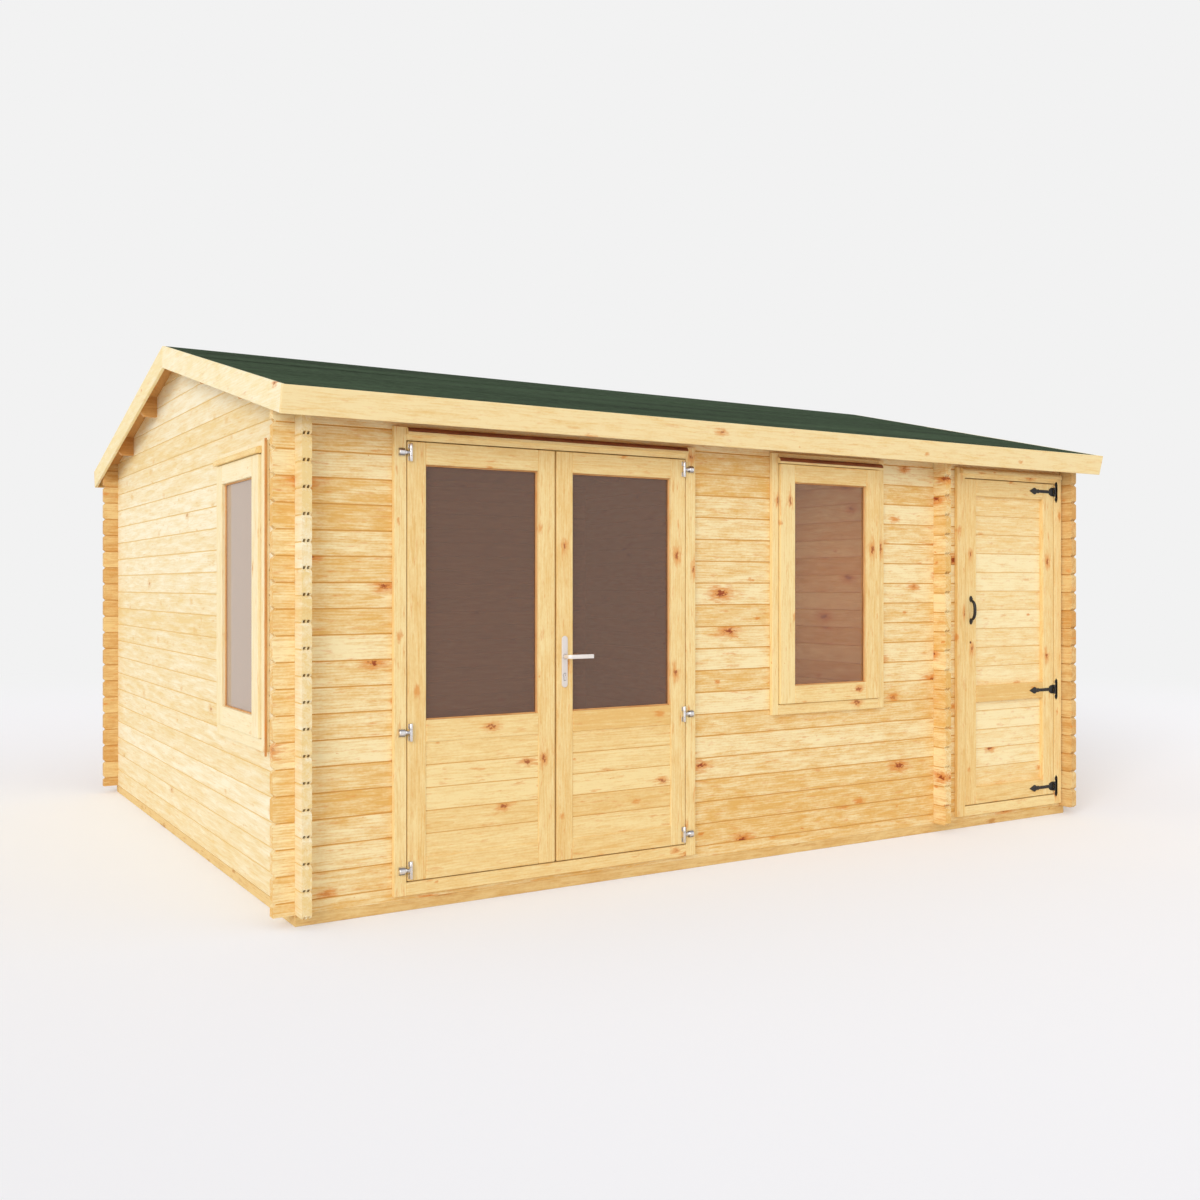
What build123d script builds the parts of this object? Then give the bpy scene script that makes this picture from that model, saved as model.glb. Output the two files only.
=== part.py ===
from build123d import *
import os
from math import cos, radians, sin, tan

# Log cabin with a glazed double door, a store room and a felted pitched roof.
# Millimetres. X runs along the front to the right, Y goes from front to back, Z is up.
# The origin is on the ground under the middle of the cabin.

# ---- Driving dimensions -------------------------------------------------------------------
# Logs
log_thickness = 44.0
course = 114.0  # height that one log adds to a wall
log_end = 95.0  # how far a log runs on past the wall that it crosses
vee = 4.0  # chamfer along the long edges of a log's outer face
end_bevel = 14.0  # bevel across a log's end, top and bottom
notch_play = 0.3  # gap between the logs that lock together at a crossing

# Plan, over the outer faces of the walls
cabin_length = 5040.0
cabin_depth = 4060.0
store_length = 1182.0  # from the partition's left face to the right outer face

# Base
bearer_height = 50.0
bearer_width = 70.0
joist_width = 44.0
joist_spacing = 450.0
floor_thickness = 19.0
floor_gap = 3.0  # left around the floor boards for the wood to move

# Roof
pitch = radians(13.35)
head_wall = 152.0  # wall over the door heads, up to the roof boards at its outer face
eave_overhang = 208.0  # from the wall to the fascia's outer top edge
gable_overhang = 118.0  # from the wall to the bargeboard's outer face
felt_thickness = 3.0
roof_board = 19.0
trim_board = 18.0  # thickness of fascias and bargeboards
trim_depth = 120.0
purlin_width = 44.0
purlin_depth = 115.0
purlin_spacing = 725.0  # level distance from the ridge to the first purlin, and on
purlin_bevel = 26.0
purlin_play = 0.3
mitre_gap = 1.0  # between the two bargeboards at the ridge

# Doors
door_frame_width = 1656.0  # double door, over the frame
door_frame_place = 441.0  # left edge of the double door frame, from the left outer face
store_frame_width = 952.0
store_frame_margin = 9.0  # from the store's door frame to the right wall
frame_face = 60.0  # width of a double door frame seen from the front
store_frame_face = 66.0
frame_lap = 26.0  # how far a door frame laps over the log ends
frame_proud = 25.0  # how far frames stand out from the wall
frame_inside = 20.0  # the frame's cover inside the room
frame_gap = 2.0  # between a frame and the sawn log ends
stop_depth = 15.0  # the stop that a leaf closes against
sill_lap = 34.0  # how far a sill's face hangs over the lowest log
door_head_courses = 18  # whole courses from the lowest seam to the door head
sill_lining = 24.5  # sill's top above the lowest log
head_lining = 44.0  # head's underside below the logs over it, frame gap left out
leaf_thickness = 44.0
leaf_gap = 5.0  # between a leaf and its frame
meeting_gap = 10.0  # between the two leaves
store_setback = 6.0  # the store leaf lies this far behind its frame's face
stile = 90.0
store_stile = 98.0
rail = 100.0
mid_rail_rise = 717.0  # top of the middle rail above the leaf's bottom
leaf_chamfer = 3.0
groove_depth = 10.0
groove_play = 0.3
panel_thickness = 16.0
panel_recess = 5.0
store_recess = 27.0
panel_boards = 5
store_board = 115.0
panel_vee = 3.0
glass_thickness = 6.0
glass_recess = 24.0

# Drip mouldings over doors and windows
drip_height = 33.0
drip_out = 22.0
drip_lip = 9.0
drip_fullness = 0.72  # how far the rounded top swells, 0.5 being a flat chamfer
door_drip_inset = 60.0
store_drip_inset = 24.0
window_drip_proud = 15.0  # past the sash
window_drip_over = 13.0  # past each side of the sash
window_drip_rise = 3.0
door_drip_drop = 2.0  # below the top of the door head

# Windows: two of one size, in the front wall and in the left wall
window_opening = 777.0
window_first_course = 6  # whole courses below the window opening
window_lap = 23.0
window_lap_below = 28.0
window_lap_above = 20.0
window_from_partition = 840.0  # front window's centre from the partition's left face
window_centre_left = 782.0  # from the front outer face
sash_width = 730.0
sash_above_opening = 31.0
sash_below_opening = 40.0
sash_proud = 40.0
sash_thickness = 40.0
sash_play = 3.0
sash_stile = 102.0
sash_rail = 95.0
sash_rebate = 15.0

# Small round bars and holes have this many flats
flat_count = 12

# Pin hinges of the double door
hinge_inset = 13.0  # pin centre from the leaf's edge
hinge_standoff = 10.0  # pin centre from the leaf's face
knuckle_radius = 8.0
pin_radius = 4.5
pin_play = 0.08
knuckle_half = 14.0  # half height of the frame's knuckle
hinge_half = 42.0  # half height of the whole hinge
knuckle_gap = 1.0
socket_radius = 20.0
socket_length = 42.0
hinge_clear = 2.0  # socket's end from the leaf's edge
hinge_arm = 8.0  # how far the knuckle's arm reaches back into the socket
hinge_arm_inset = 2.0  # arm's edges from the knuckle's ends
hinge_web = 8.0
hinge_plate_in = 10.0  # leaf plate's edges from the pin centre
hinge_plate_out = 12.0
hinge_plate = 3.0

# Strap hinges of the store door
strap_length = 228.0
strap_height = 20.0
strap_thickness = 4.0
strap_arrow = 42.0
strap_arrow_length = 78.0
strap_arrow_widest = 47.0  # from the arrow's tip to where it is widest
shoulder_length = 38.0
shoulder_inset = 4.0  # shoulder's edge from the leaf's edge
strap_root = 10.0  # knuckle blocks' edge from the leaf's edge
strap_web = 4.0
strap_overlap = 2.0  # how far the knuckle's web runs in under the plate
shoulder_height = 55.0
strap_knuckle = 5.5
strap_pin = 3.0
strap_pin_forward = 6.5  # pin centre from the frame's face
strap_knuckle_half = 12.0
strap_plate_width = 18.0
strap_plate_height = 132.0
strap_plate_point = 20.0

# Door furniture
handle_inset = 41.6  # spindle from the right leaf's meeting edge
handle_rise = 983.5  # spindle above the leaf's bottom
handle_plate_width = 32.0
handle_plate_height = 249.0
handle_plate_drop = 25.0  # plate's centre below the spindle
handle_plate_thickness = 6.0
lever_radius = 10.0
lever_reach = 131.0
lever_proud = 46.0
lever_bend = 16.0
lever_chamfer = 4.0
lever_play = 1.0
spindle = 8.0
spindle_hole = 6.5
cylinder_drop = 98.0  # lock cylinder below the spindle
cylinder_radius = 8.5
cylinder_tail = 5.0
cylinder_height = 33.0
cylinder_proud = 4.0
pull_inset = 47.0
pull_rise = 1177.5  # pull handle's middle above the leaf's bottom
pull_length = 142.0
pull_proud = 45.0
pull_bar = 12.0
pull_bend = 22.0
pull_neck = 20.0  # straight part of each leg, before the bow bends in
pull_corner = 8.5
pull_foot_radius = 9.5
pull_foot_length = 30.0
pull_foot_thickness = 4.0

# ---- Places worked out from them ----------------------------------------------------------
left = -cabin_length / 2
right = cabin_length / 2
front = -cabin_depth / 2
back = cabin_depth / 2
partition = right - store_length
first_seam_front = bearer_height + course / 2  # the front starts with a half log
first_seam_side = bearer_height + course
door_head = first_seam_front + door_head_courses * course
board_under = felt_thickness + roof_board  # from the felt's top to the boards' underside
ridge_height = door_head + head_wall + tan(pitch) * cabin_depth / 2 + board_under / cos(pitch)
window_courses = door_head_courses - window_first_course
store_frame_place = cabin_length - log_thickness - store_frame_margin - store_frame_width
slope_end = (cabin_depth / 2 + eave_overhang) / cos(pitch)
gable_out = right + gable_overhang
floor_top = bearer_height + floor_thickness
sill_top = first_seam_front + sill_lining
leaf_bottom = sill_top + leaf_gap
head_bottom = door_head - frame_gap - head_lining
leaf_top = head_bottom - leaf_gap
mid_rail_top = leaf_bottom + mid_rail_rise
mid_rail_bottom = mid_rail_top - rail
handle_height = leaf_bottom + handle_rise
pull_height = leaf_bottom + pull_rise
rail_centres = [leaf_bottom + rail / 2, mid_rail_top - rail / 2, leaf_top - rail / 2]
frame_front = front - frame_proud
frame_bottom = first_seam_front - sill_lap
frame_top = head_bottom + frame_face


# ---- Helpers ------------------------------------------------------------------------------
def block(x0, x1, y0, y1, z0, z1):
    """A box between two corners."""
    corner = Pos(min(x0, x1), min(y0, y1), min(z0, z1))
    return corner * Box(abs(x1 - x0), abs(y1 - y0), abs(z1 - z0), align=(Align.MIN,) * 3)


def outline(points):
    """A flat face inside a closed run of points."""
    return make_face(Polyline(*points, close=True))


def along_x(points, x0, x1):
    """Extrude an outline of (y, z) points from x0 to x1."""
    return extrude(Plane.YZ.offset(x0) * outline(points), x1 - x0)


def along_y(points, y0, y1):
    """Extrude an outline of (x, z) points from y0 to y1."""
    return extrude(Plane.XZ.offset(-y1) * outline(points), y1 - y0)


def along_z(points, z0, z1):
    """Extrude an outline of (x, y) points from z0 to z1."""
    return extrude(Plane.XY.offset(z0) * outline(points), z1 - z0)


def roof_height(y, below=0.0):
    """Height of a plane that lies square below the felt's top by a distance."""
    return ridge_height - tan(pitch) * abs(y) - below / cos(pitch)


def on_slope(side, down, below):
    """A point (y, z) on the front (-1) or rear (1) slope: down the slope, and square below it."""
    return (
        side * (down * cos(pitch) - below * sin(pitch)),
        ridge_height - down * sin(pitch) - below * cos(pitch),
    )


def node(name, *solids):
    """Write one sub-part's STEP file, with one solid or several that don't touch."""
    shape = solids[0] if len(solids) == 1 else Compound(children=list(solids))
    export_step(shape, f"parts/{name}.step")


# ---- Logs ---------------------------------------------------------------------------------
def seams_between(first, low, high):
    """Heights of the joints between courses, from low to high and with both of those."""
    count = int((high - first) / course + 0.001)
    heights = [first + step * course for step in range(-1, count + 1)]
    return [seam for seam in heights if low - 0.001 <= seam <= high + 0.001]


def notched_edge(place, inward, depth, low, high, seams):
    """Points up one edge of a stack of logs, cut in by depth at each seam."""
    points = []
    if abs(seams[0] - low) > 0.001:
        points.append((place, low))
    for seam in seams:
        if seam - depth > low:
            points.append((place, seam - depth))
        points.append((place + inward * depth, seam))
        if seam + depth < high:
            points.append((place, seam + depth))
    if abs(seams[-1] - high) > 0.001:
        points.append((place, high))
    return points


def log_section(outer, inner, low, outer_top, inner_top, seams):
    """Outline across a stack of logs, with a vee along the outer face at each seam."""
    inward = 1 if inner > outer else -1
    open_seams = [seam for seam in seams if seam < outer_top - vee or abs(seam - outer_top) < 0.001]
    outer_edge = notched_edge(outer, inward, vee, low, outer_top, open_seams)
    return outer_edge + [(inner, inner_top), (inner, low)]


def end_edge(place, outward, low, high, seams):
    """Points up a stack's end: bevelled log ends if it runs free, a sawn end if outward is 0."""
    if outward == 0:
        return [(place, low), (place, high)]
    free = [seam for seam in seams if seam < high - end_bevel or abs(seam - high) < 0.001]
    return notched_edge(place, -outward, end_bevel, low, high, free)


def necks(first_centre, low, high):
    """Bands of height that the crossing logs fill: half of each course, notched top and bottom."""
    half = course / 4 + notch_play / 2
    count = int((high - first_centre) / course) + 2
    centres = [first_centre + step * course for step in range(-1, count)]
    return [(c - half, c + half) for c in centres if c + half > low and c - half < high]


def front_logs(x0, x1, low, high, ends=(0, 0), crossings=(), outer=front):
    """Part of a wall that runs along X, from its outer face inwards, from low up to high or the roof."""
    seams = seams_between(first_seam_front, low, high)
    if low == bearer_height:
        seams = [low] + [seam for seam in seams if seam > low]
    inner = outer + log_thickness if outer < 0 else outer - log_thickness
    outer_top = min(high, roof_height(outer, board_under))
    inner_top = min(high, roof_height(inner, board_under))
    section = log_section(outer, inner, low, outer_top, inner_top, seams)
    shape = end_edge(x0, ends[0], low, inner_top, seams)
    shape += end_edge(x1, ends[1], low, inner_top, seams)[::-1]
    near, far = sorted((outer, inner))
    stack = along_x(section, x0, x1) & along_y(shape, near, far)
    gaps = [
        block(x - notch_play, x + log_thickness + notch_play, near - 1, far + 1, z0, z1)
        for x in crossings
        for z0, z1 in necks(bearer_height + course / 2, low, inner_top)
    ]
    return stack - gaps if gaps else stack


def side_logs(outer, inward, y0, y1, low, high, ends=(0, 0), crossings=(), to_roof=False):
    """Part of a wall that runs along Y, from its outer face inwards; to_roof carries it into the gable."""
    seams = seams_between(first_seam_side, low, high)
    inner = outer + inward * log_thickness
    section = log_section(outer, inner, low, high, high, seams)
    tops = [roof_height(y, board_under) if to_roof else high for y in (y0, y1)]
    shape = end_edge(y0, ends[0], low, tops[0], seams)
    if to_roof:
        shape.append((0, roof_height(0, board_under)))
    shape += end_edge(y1, ends[1], low, tops[1], seams)[::-1]
    near, far = sorted((outer, inner))
    stack = along_y(section, y0, y1) & along_x(shape, near, far)
    gaps = [
        block(near - 1, far + 1, y - notch_play, y + log_thickness + notch_play, z0, z1)
        for y in crossings
        for z0, z1 in necks(bearer_height, low, high)
    ]
    if to_roof:
        gaps += [purlin(offset, near - 1, far + 1, purlin_play) for offset in purlin_rows]
    return stack - gaps


# ---- Roof ---------------------------------------------------------------------------------
purlin_rows = [step * purlin_spacing for step in (-2, -1, 0, 1, 2)]
inner_gable = gable_out - trim_board


def purlin(offset, x0, x1, grow=0.0):
    """A purlin's bar, or with grow the slot that a wall has for it."""
    half = purlin_width / 2 + grow
    foot = roof_height(offset, board_under) - purlin_depth - grow
    edges = [offset - half, offset + half]
    if edges[0] < 0 < edges[1]:
        edges.insert(1, 0.0)
    top = [(y, roof_height(y, board_under - 2 * grow)) for y in edges]
    return along_x([(offset - half, foot)] + top + [(offset + half, foot)], x0, x1)


def bevelled_purlin(offset):
    """A purlin from bargeboard to bargeboard, with the lower corner of each end cut away."""
    bar = purlin(offset, -inner_gable, inner_gable)
    foot = roof_height(offset, board_under) - purlin_depth
    for end in (-1, 1):
        tip = end * inner_gable
        corner = [(tip, foot), (tip - end * purlin_bevel, foot), (tip, foot + purlin_bevel)]
        bar -= along_y(corner, offset - purlin_width, offset + purlin_width)
    return bar


def slope_layer(side, top, thickness, down_to, x0, x1):
    """A sheet on one slope, from the ridge to a distance down it."""
    low = top + thickness
    points = [
        on_slope(side, top * tan(pitch), top),
        on_slope(side, down_to, top),
        on_slope(side, down_to, low),
        on_slope(side, low * tan(pitch), low),
    ]
    return along_x(points, x0, x1)


def bargeboard(side, end):
    """The board that closes one slope at one gable, cut plumb at the ridge."""
    points = [
        on_slope(side, mitre_gap, 0),
        on_slope(side, slope_end - trim_board, 0),
        on_slope(side, slope_end - trim_board, trim_depth),
        on_slope(side, trim_depth * tan(pitch) + mitre_gap, trim_depth),
    ]
    inside, outside = sorted((end * inner_gable, end * gable_out))
    return along_x(points, inside, outside)


def fascia(side):
    """The board along one eave, square to the slope, over the bargeboards' ends."""
    points = [
        on_slope(side, slope_end - trim_board, 0),
        on_slope(side, slope_end, 0),
        on_slope(side, slope_end, trim_depth),
        on_slope(side, slope_end - trim_board, trim_depth),
    ]
    return along_x(points, -gable_out, gable_out)


# ---- Door frames, drips and leaves --------------------------------------------------------
def frame_profile(outer, inner, web, setback):
    """Section of a door frame that hugs the wall, as (across the wall's face, depth)."""
    into = 1 if inner > outer else -1
    stop = inner + into * stop_depth
    leaf_back = frame_front + setback + leaf_thickness + leaf_gap
    room = front + log_thickness
    return [
        (outer, frame_front),
        (inner, frame_front),
        (inner, leaf_back),
        (stop, leaf_back),
        (stop, room + frame_inside),
        (outer, room + frame_inside),
        (outer, room),
        (web, room),
        (web, front),
        (outer, front),
    ]


def door_frame(place, width, face, setback):
    """The jambs, head and sill of one doorway; the jambs run the full height."""
    x0, x1 = left + place, left + place + width
    lap = frame_lap + frame_gap
    web_top = door_head - frame_gap
    jambs = []
    for outer, inner, web in ((x0, x0 + face, x0 + lap), (x1, x1 - face, x1 - lap)):
        jamb = along_z(frame_profile(outer, inner, web, setback), frame_bottom, frame_top)
        for low, high in ((frame_bottom, first_seam_front), (web_top, frame_top)):
            jamb -= block(x0, x1, front, front + log_thickness, low, high)
        jambs.append(jamb)
    head_points = frame_profile(frame_top, head_bottom, web_top, setback)
    sill_points = frame_profile(frame_bottom, sill_top, first_seam_front, setback)
    rails = []
    for points in (head_points, sill_points):
        bar = along_x([(y, z) for z, y in points], x0 + face, x1 - face)
        rails.append(bar - jambs)
    return jambs, rails[0], rails[1]


def drip(reach, base, face):
    """Section of a drip moulding with a rounded top, as (out from the wall, up)."""
    tip, top = face + reach, base + drip_height
    curve = ThreePointArc(
        (tip, base + drip_lip),
        (face + reach * drip_fullness, base + drip_lip + (drip_height - drip_lip) * drip_fullness),
        (face, top),
    )
    sides = Polyline((face, top), (face, base), (tip, base), (tip, base + drip_lip))
    return make_face(curve + sides)


def front_drip(x0, x1, reach, base, face):
    """A drip moulding on the front wall; face is how far out it is fixed."""
    section = drip(reach, base, face)
    return extrude(Plane((x0, front, 0), x_dir=(0, -1, 0), z_dir=(-1, 0, 0)) * section, x0 - x1)


def left_drip(y0, y1, reach, base, face):
    """A drip moulding on the left wall."""
    section = drip(reach, base, face)
    return extrude(Plane((left, y0, 0), x_dir=(-1, 0, 0), z_dir=(0, 1, 0)) * section, y1 - y0)


def leaf_frame(x0, x1, face, side, openings):
    """Stiles and rails in one piece; each opening is (low, high, depth of groove, its width)."""
    frame = block(x0, x1, face, face + leaf_thickness, leaf_bottom, leaf_top)
    for low, high, _, _ in openings:
        frame -= block(x0 + side, x1 - side, face, face + leaf_thickness, low, high)
    front_face = frame.faces().sort_by(Axis.Y)[0]
    frame = chamfer(front_face.edges(), leaf_chamfer)
    for low, high, recess, width in openings:
        frame -= block(
            x0 + side - groove_depth,
            x1 - side + groove_depth,
            face + recess - groove_play,
            face + recess + width + groove_play,
            low - groove_depth,
            high + groove_depth,
        )
    return frame


def board_panel(x0, x1, face, low, high, spacing):
    """Tongued and grooved boards laid level in a leaf, with a vee at each joint."""
    edge = groove_depth - groove_play
    joints = [low + spacing * (step + 1) for step in range(int((high - low) / spacing - 0.2))]
    points = [(face, low - edge)]
    for joint in joints:
        points += [(face, joint - panel_vee), (face + panel_vee, joint), (face, joint + panel_vee)]
    points += [(face, high + edge), (face + panel_thickness, high + edge), (face + panel_thickness, low - edge)]
    return along_x(points, x0 - edge, x1 + edge)


def pane(x0, x1, y0, y1, low, high):
    """A sheet of glass that reaches into the grooves around it."""
    edge = groove_depth - groove_play
    return block(x0 - edge, x1 + edge, y0, y1, low - edge, high + edge)


# ---- Windows ------------------------------------------------------------------------------
def window(centre, opening_low):
    """Frame, sash and pane of one window, standing in the front wall's place."""
    opening_high = opening_low + window_courses * course
    half = window_opening / 2
    low, high = opening_low - window_lap_below, opening_high + window_lap_above
    sash_low, sash_high = opening_low + sash_above_opening, opening_high - sash_below_opening
    x0, x1 = centre - sash_width / 2, centre + sash_width / 2
    room = front + log_thickness
    face = front - sash_proud
    frame = block(centre - half - window_lap, centre + half + window_lap, frame_front, front, low, high)
    frame += block(
        centre - half + frame_gap,
        centre + half - frame_gap,
        front,
        room,
        opening_low + frame_gap,
        opening_high - frame_gap,
    )
    frame += block(
        centre - half - window_lap, centre + half + window_lap, room, room + frame_inside, low, high
    )
    frame -= block(
        x0 - sash_play, x1 + sash_play, frame_front, front, sash_low - sash_play, sash_high + sash_play
    )
    frame -= block(
        x0 + sash_rebate,
        x1 - sash_rebate,
        front,
        room + frame_inside,
        sash_low + sash_rebate,
        sash_high - sash_rebate,
    )
    sash = block(x0, x1, face, face + sash_thickness, sash_low, sash_high)
    glass_low, glass_high = sash_low + sash_rail, sash_high - sash_rail
    sash -= block(x0 + sash_stile, x1 - sash_stile, face, face + sash_thickness, glass_low, glass_high)
    sash = chamfer(sash.faces().sort_by(Axis.Y)[0].edges(), leaf_chamfer)
    glass_face = face + glass_recess
    sash -= block(
        x0 + sash_stile - groove_depth,
        x1 - sash_stile + groove_depth,
        glass_face - groove_play,
        glass_face + glass_thickness + groove_play,
        glass_low - groove_depth,
        glass_high + groove_depth,
    )
    glass = pane(
        x0 + sash_stile, x1 - sash_stile, glass_face, glass_face + glass_thickness, glass_low, glass_high
    )
    return frame, sash, glass, (x0, x1, sash_high)


def turn_to_left_wall(shape, centre):
    """Carry a window made at x = 0 in the front wall to a place along the left wall."""
    return Pos(left, centre, 0) * Rot(0, 0, -90) * Pos(0, -front, 0) * shape


# ---- Hinges and furniture -----------------------------------------------------------------
def round_bar(x, y, z0, z1, radius):
    """An upright bar whose flats lie just inside a radius."""
    return Pos(x, y, z0) * extrude(RegularPolygon(radius, flat_count), z1 - z0)


def round_hole(x, y, z0, z1, radius):
    """An upright hole whose flats lie just outside a radius, so that a bar can turn in it."""
    return Pos(x, y, z0) * extrude(RegularPolygon(radius, flat_count, major_radius=False), z1 - z0)


def pin_hinge(edge, into, height):
    """One hinge of the double door: the frame's socket with its knuckle, and the leaf's pin."""
    x, y = edge + into * hinge_inset, frame_front - hinge_standoff
    low, high = height - knuckle_half, height + knuckle_half
    section = Plane.YZ * Pos(frame_front, height) * RegularPolygon(socket_radius, flat_count)
    section &= Plane.YZ * Pos(frame_front - socket_radius, height) * Rectangle(
        2 * socket_radius, 2 * socket_radius
    )
    socket = Pos(edge - into * hinge_clear, 0, 0) * extrude(section, -into * socket_length)
    arm = block(
        edge - into * hinge_arm,
        x,
        y - hinge_web / 2,
        y + hinge_web / 2,
        low + hinge_arm_inset,
        high - hinge_arm_inset,
    )
    ring = round_bar(x, y, low, high, knuckle_radius)
    socket = socket + arm + ring - round_hole(x, y, low, high, pin_radius + pin_play)
    pin = round_bar(x, y, height - hinge_half, height + hinge_half, pin_radius)
    for side in (-1, 1):
        z0, z1 = height + side * (knuckle_half + knuckle_gap), height + side * hinge_half
        pin += round_bar(x, y, min(z0, z1), max(z0, z1), knuckle_radius)
        pin += block(
            x - hinge_plate_in, x + hinge_plate_out, frame_front - hinge_plate, frame_front, z0, z1
        )
        pin += block(x - hinge_web / 2, x + hinge_web / 2, y, frame_front, z0, z1)
    return socket, pin


def strap_hinge(edge, height):
    """One strap hinge of the store door: the frame's plate, and the strap on the leaf."""
    x, y = edge + leaf_gap / 2, frame_front - strap_pin_forward
    leaf_face = frame_front + store_setback
    low, high = height - strap_knuckle_half, height + strap_knuckle_half
    near = x + strap_knuckle + knuckle_gap
    far = near + strap_plate_width
    half = strap_plate_height / 2
    shape = [
        (near, height - half + strap_plate_point),
        ((near + far) / 2, height - half),
        (far, height - half + strap_plate_point),
        (far, height + half - strap_plate_point),
        ((near + far) / 2, height + half),
        (near, height + half - strap_plate_point),
    ]
    plate = along_y(shape, frame_front - strap_thickness, frame_front)
    plate += round_bar(x, y, low, high, strap_knuckle)
    plate += block(x, near + strap_overlap, y, frame_front, low, high)
    plate -= round_hole(x, y, low, high, strap_pin + pin_play)
    tip = edge - strap_length
    root = edge - shoulder_length
    arrow = tip + strap_arrow_length
    waist = strap_height / 2
    outline_points = [
        (tip, height),
        (tip + strap_arrow_widest, height - strap_arrow / 2),
        (arrow, height - waist),
        (root, height - waist),
        (root, height - shoulder_height / 2),
        (edge - shoulder_inset, height - shoulder_height / 2),
        (edge - shoulder_inset, height + shoulder_height / 2),
        (root, height + shoulder_height / 2),
        (root, height + waist),
        (arrow, height + waist),
        (tip + strap_arrow_widest, height + strap_arrow / 2),
    ]
    strap = along_y(outline_points, leaf_face - strap_thickness, leaf_face)
    pin_half = shoulder_height / 2
    strap += round_bar(x, y, height - pin_half, height + pin_half, strap_pin)
    for side in (-1, 1):
        z0, z1 = height + side * (strap_knuckle_half + knuckle_gap), height + side * pin_half
        strap += round_bar(x, y, min(z0, z1), max(z0, z1), strap_knuckle)
        strap += block(edge - strap_root, x, y - strap_web / 2, leaf_face, z0, z1)
    return plate, strap


def long_plate(x, face, into, height):
    """A handle's back plate with round ends, and the end of its lock cylinder."""
    centre = height - handle_plate_drop
    sketch = Plane.XZ * Pos(x, centre) * SlotOverall(handle_plate_height, handle_plate_width, rotation=90)
    plate = Pos(0, face, 0) * extrude(sketch, -into * handle_plate_thickness)
    barrel = Plane.XZ * Pos(x, height - cylinder_drop + cylinder_height / 2 - cylinder_radius) * (
        RegularPolygon(cylinder_radius, flat_count)
    )
    tail = Plane.XZ * Pos(x, height - cylinder_drop) * Rectangle(2 * cylinder_tail, cylinder_height)
    lock = Pos(0, face, 0) * extrude(barrel + tail, -into * (handle_plate_thickness + cylinder_proud))
    return plate + lock


def lever(x, face, into, height):
    """A lever on one side of the leaf: a bar bent at its neck, with its long edges broken."""
    start = face + into * (handle_plate_thickness + lever_play)
    end = face + into * (handle_plate_thickness + lever_proud)
    path = FilletPolyline((x, start), (x, end), (x + lever_reach, end), radius=lever_bend)
    flat = Plane.XY.offset(height - lever_radius) * trace(path, 2 * lever_radius)
    bar = extrude(flat, 2 * lever_radius)
    ends = bar.faces().sort_by(Axis.Z)
    return chamfer(ends[0].edges() + ends[-1].edges(), lever_chamfer)


def pull_handle(x, face, height):
    """A bow handle of square bar with an oval foot at each end."""
    half = pull_length / 2
    out = face - pull_proud
    path = FilletPolyline(
        (face, height - half),
        (face - pull_neck, height - half),
        (out, height - half + pull_bend),
        (out, height + half - pull_bend),
        (face - pull_neck, height + half),
        (face, height + half),
        radius=pull_corner,
    )
    bow = extrude(Plane.YZ.offset(x - pull_bar / 2) * trace(path, pull_bar), pull_bar)
    bow &= block(x - pull_bar, x + pull_bar, out - pull_bar, face, height - 2 * half, height + 2 * half)
    for side in (-1, 1):
        foot = Plane.XZ * Pos(x, height + side * half) * SlotOverall(
            pull_foot_length, 2 * pull_foot_radius, rotation=90
        )
        bow += Pos(0, face, 0) * extrude(foot, pull_foot_thickness)
    return bow


# ---- Base ---------------------------------------------------------------------------------
os.makedirs("parts", exist_ok=True)
inner_front, inner_back = front + bearer_width, back - bearer_width
node(
    "long_bearers",
    block(left, right, front, inner_front, 0, bearer_height),
    block(left, right, inner_back, back, 0, bearer_height),
)
cross_places = [left, partition - (bearer_width - log_thickness) / 2, right - bearer_width]
node(
    "cross_bearers",
    *[block(x, x + bearer_width, inner_front, inner_back, 0, bearer_height) for x in cross_places],
)


def between_bearers(x):
    """Whether a joist at x stays clear of the bearers that run the same way."""
    return all(x + joist_width < place - 20 or x > place + bearer_width + 20 for place in cross_places)


joists = [left + joist_spacing * step for step in range(1, int(cabin_length / joist_spacing) + 1)]
node(
    "floor_joists",
    *[
        block(x, x + joist_width, inner_front, inner_back, 0, bearer_height)
        for x in joists
        if between_bearers(x)
    ],
)
room_front = front + log_thickness + floor_gap
room_back = back - log_thickness - floor_gap
node(
    "floor_boards",
    block(
        left + log_thickness + floor_gap, partition - floor_gap, room_front, room_back, bearer_height, floor_top
    ),
    block(
        partition + log_thickness + floor_gap,
        right - log_thickness - floor_gap,
        room_front,
        room_back,
        bearer_height,
        floor_top,
    ),
)

# ---- Walls --------------------------------------------------------------------------------
far_left, far_right = left - log_end, right + log_end
far_front, far_back = front - log_end, back + log_end
corners = [left, right - log_thickness]
rows = [front, back - log_thickness]
eave = ridge_height
door_open_left = left + door_frame_place + frame_lap
door_open_right = left + door_frame_place + door_frame_width - frame_lap
store_open_left = left + store_frame_place + frame_lap
store_open_right = left + store_frame_place + store_frame_width - frame_lap
window_front_x = partition - window_from_partition
window_low_front = first_seam_front + window_first_course * course
window_low_side = bearer_height + window_first_course * course
window_high_side = window_low_side + window_courses * course
pane_left, pane_right = window_front_x - window_opening / 2, window_front_x + window_opening / 2

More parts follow.
